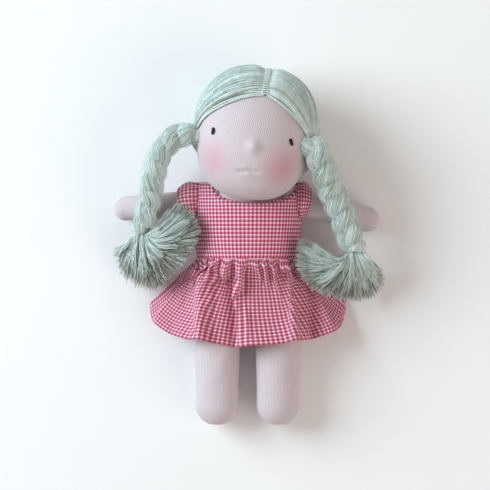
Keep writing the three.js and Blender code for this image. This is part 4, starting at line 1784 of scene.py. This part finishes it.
    def skirt_point(self, turn: float, share: float) -> Vector:
        """A point of the skirt.

        Args:
            turn: The turn from the front.
            share: The share of the way from waist to hem.

        Returns:
            The point in the doll's space.
        """
        flare = share ** 0.8
        facing = math.cos(turn)
        width = lerp(self.waist, self.hem_width, flare)
        side = lerp(self.level, self.hem_side, flare)
        front = lerp(self.level + self.depth, self.hem_front, flare)
        length = lerp(self.side_length, self.front_length, abs(facing) ** (0.64 if turn < 0 else 0.52))
        fold = self.folds(turn, share)
        reach = fold * (0.45 if facing > 0 else 0.2) * abs(math.sin(turn))
        if facing > 0:
            z = side + (front - side) * facing + fold * ease(facing, 0.0, 0.5)
        else:
            z = side - side * abs(facing) ** lerp(1, 0.4, flare) + 0.3 * fold * ease(share, 0.1, 0.5)
        y = self.waist_line + 0.6 - share * length
        return Vector(((width + reach) * math.sin(turn), y, max(z, self.drape.ground)))

    def _skirt(self, side: Side, grid: list[list[Vector]], stock: Wardrobe) -> None:
        """Makes one half of the settled skirt, which meets the other at the middle.

        Args:
            side: The half.
            grid: The settled points by column and row.
            stock: The finishes.
        """
        middle = self.drape.columns // 2
        first, last = (middle, 2 * middle) if side is Side.LEFT else (0, middle)

        def spot(u: float, v: float) -> tuple[int, int]:
            """The column and row of the settled grid."""
            return round(lerp(first, last, u)), round(v * self.drape.rows)

        def place(u: float, v: float) -> Vector:
            """The settled point."""
            column, row = spot(u, v)
            return grid[column][row].copy()

        def cloth(u: float, v: float) -> Vector:
            """The point on the flat cloth, in metres."""
            column, _ = spot(u, v)
            return Vector(((column / middle - 1) * self.skirt_cut * MM, v * self.skirt_length * MM, 0))

        form = Workshop.sheet(last - first, self.drape.rows, place, cloth, Vector((side.value, 0, 0.6)))
        half = Workshop.piece(f"{side.word}_skirt_cotton", form, stock.gingham)
        Workshop.thicken(half, self.cotton)
        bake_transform(half)
        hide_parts("skirt")


@dataclass
class Studio:
    """The pale ground, the soft light and the camera straight above."""

    middle: tuple[float, float] = (-0.002, -0.012)
    field_width: float = 0.392
    height: float = 3.0
    focus: float = 0.04

    def build(self, stock: Wardrobe) -> None:
        """Sets the stage.

        Args:
            stock: The finishes.
        """
        self._camera()
        form = bmesh.new()
        bmesh.ops.create_grid(form, x_segments=8, y_segments=8, size=2500.0)
        Workshop.piece("ground", form, stock.floor)
        self._light("window", (-1.6, 0.6, 1.1), size=1.5, power=44.0, colour=(0.78, 0.92, 1.0))
        self._light("room", (1.4, -0.8, 1.1), size=1.8, power=11.5, colour=(1.0, 0.87, 0.76))
        world = bpy.data.worlds.new("soft_room")
        world.use_nodes = True
        world.node_tree.nodes["Background"].inputs["Color"].default_value = (1.0, 0.94, 0.91, 1.0)
        world.node_tree.nodes["Background"].inputs["Strength"].default_value = 0.39
        bpy.context.scene.world = world
        bpy.context.scene.view_settings.view_transform = "Standard"

    def _camera(self) -> None:
        """Hangs the camera over the doll."""
        lens = bpy.data.cameras.new("overhead")
        lens.sensor_fit = "HORIZONTAL"
        lens.sensor_width = 36.0
        lens.lens = 36.0 * (self.height - self.focus) / self.field_width
        lens.clip_end = 20.0
        camera = bpy.data.objects.new("overhead", lens)
        camera.location = (*self.middle, self.height)
        bpy.context.scene.collection.objects.link(camera)
        bpy.context.scene.camera = camera

    def _light(self, name: str, place: tuple, size: float, power: float, colour: tuple) -> None:
        """Hangs one soft light that faces the doll.

        Args:
            name: The light's name.
            place: Where it hangs, in metres.
            size: Its width in metres.
            power: Its power in watts.
            colour: Its colour.
        """
        lamp = bpy.data.lights.new(name, "AREA")
        lamp.shape = "DISK"
        lamp.size = size
        lamp.energy = power
        lamp.color = colour
        hung = bpy.data.objects.new(name, lamp)
        hung.location = place
        hung.rotation_euler = (Vector((0, 0, 0.04)) - Vector(place)).to_track_quat("-Z", "Y").to_euler()
        bpy.context.scene.collection.objects.link(hung)


def dress_inner_nodes(nodes: dict[str, bpy.types.Object], stock: Wardrobe) -> None:
    """Gives the pieces inside the doll and its dress their finishes.

    Args:
        nodes: The solids by name.
        stock: The finishes.
    """
    finishes = {
        "stuffing": stock.wool, "head_core": stock.wool, "thread": stock.linen,
        "neck_tie": stock.linen, "facing": stock.facing, "snap": stock.snap,
    }
    for name, solid in nodes.items():
        for word, finish in finishes.items():
            if word in name:
                solid.data.materials.clear()
                solid.data.materials.append(finish)


def limbs() -> list[Limb]:
    """Places the arms and legs.

    Returns:
        The two arms and the two legs.
    """
    made = []
    for side, swing in ((Side.LEFT, -14.0), (Side.RIGHT, -4.0)):
        turn, drop = math.radians(swing), math.radians(14.0)
        aside, along = side.value * math.cos(turn) * math.cos(drop), math.sin(turn) * math.cos(drop)
        way = Vector((aside, along, -math.sin(drop)))
        shoulder = Vector((side.value * 47.1, 21.0, 25.9))
        arm = f"{side.word}_arm"
        made.append(Limb(arm, arm, shoulder, way, radius=10.8, length=62.0, end=9.6))
        slope = math.radians(1.5)
        hip = Vector((side.value * HIP_ASIDE, HIP_LINE, HIP_HEIGHT))
        way = Vector((0, -math.cos(slope), -math.sin(slope)))
        leg = f"{side.word}_leg"
        made.append(Limb(leg, leg, hip, way, radius=18.5, length=108.0, end=16.5))
    return made


def plaits(hair: Hair) -> list[Plait]:
    """Lays the two plaits, each along its own line.

    Args:
        hair: The hair that they hang from.

    Returns:
        The plaits.
    """
    left = [(54, 65, 64), (58, 56, 62), (62, 46, 57), (67, 34, 50), (74, 19, 44), (80, 4, 40), (87, -15, 36)]
    right = [
        (-53, 77, 52), (-62, 72, 52), (-70, 62, 51), (-75, 48, 48),
        (-78, 33, 44), (-80.5, 18, 42), (-86.4, 1, 36),
    ]
    return [
        Plait(
            Side.LEFT, hair, seat=2.2, knots=[Vector(p) for p in left],
            fan=(math.radians(-186), math.radians(-46)), reach=[47, 50, 48, 43, 42, 42, 32],
            rolls=(-1.4, -1.2), tied=0.86, tie_size=0.66,
        ),
        Plait(
            Side.RIGHT, hair, seat=3.0, knots=[Vector(p) for p in right],
            fan=(math.radians(30), math.radians(-128)), reach=[40, 49, 46, 44, 51, 43, 30],
            rolls=(1.2, 1.4), pitch=38.0, girth=0.9, dusty=0.8,
        ),
    ]


def main() -> None:
    """Builds the doll's looks in order."""
    logging.basicConfig(level=logging.INFO, format="%(name)s: %(message)s")
    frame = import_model()
    shape = HeadShape()
    stock = Wardrobe.stock(shape)
    Studio().build(stock)
    hair = Hair(shape)
    Head(shape).build(stock)
    hair.build(stock)
    for plait in plaits(hair):
        plait.build(stock)
    Torso().build(stock)
    for limb in limbs():
        limb.build(stock)
    Dress().build(stock)
    dress_inner_nodes(frame["nodes"], stock)


if __name__ == "__main__":
    main()
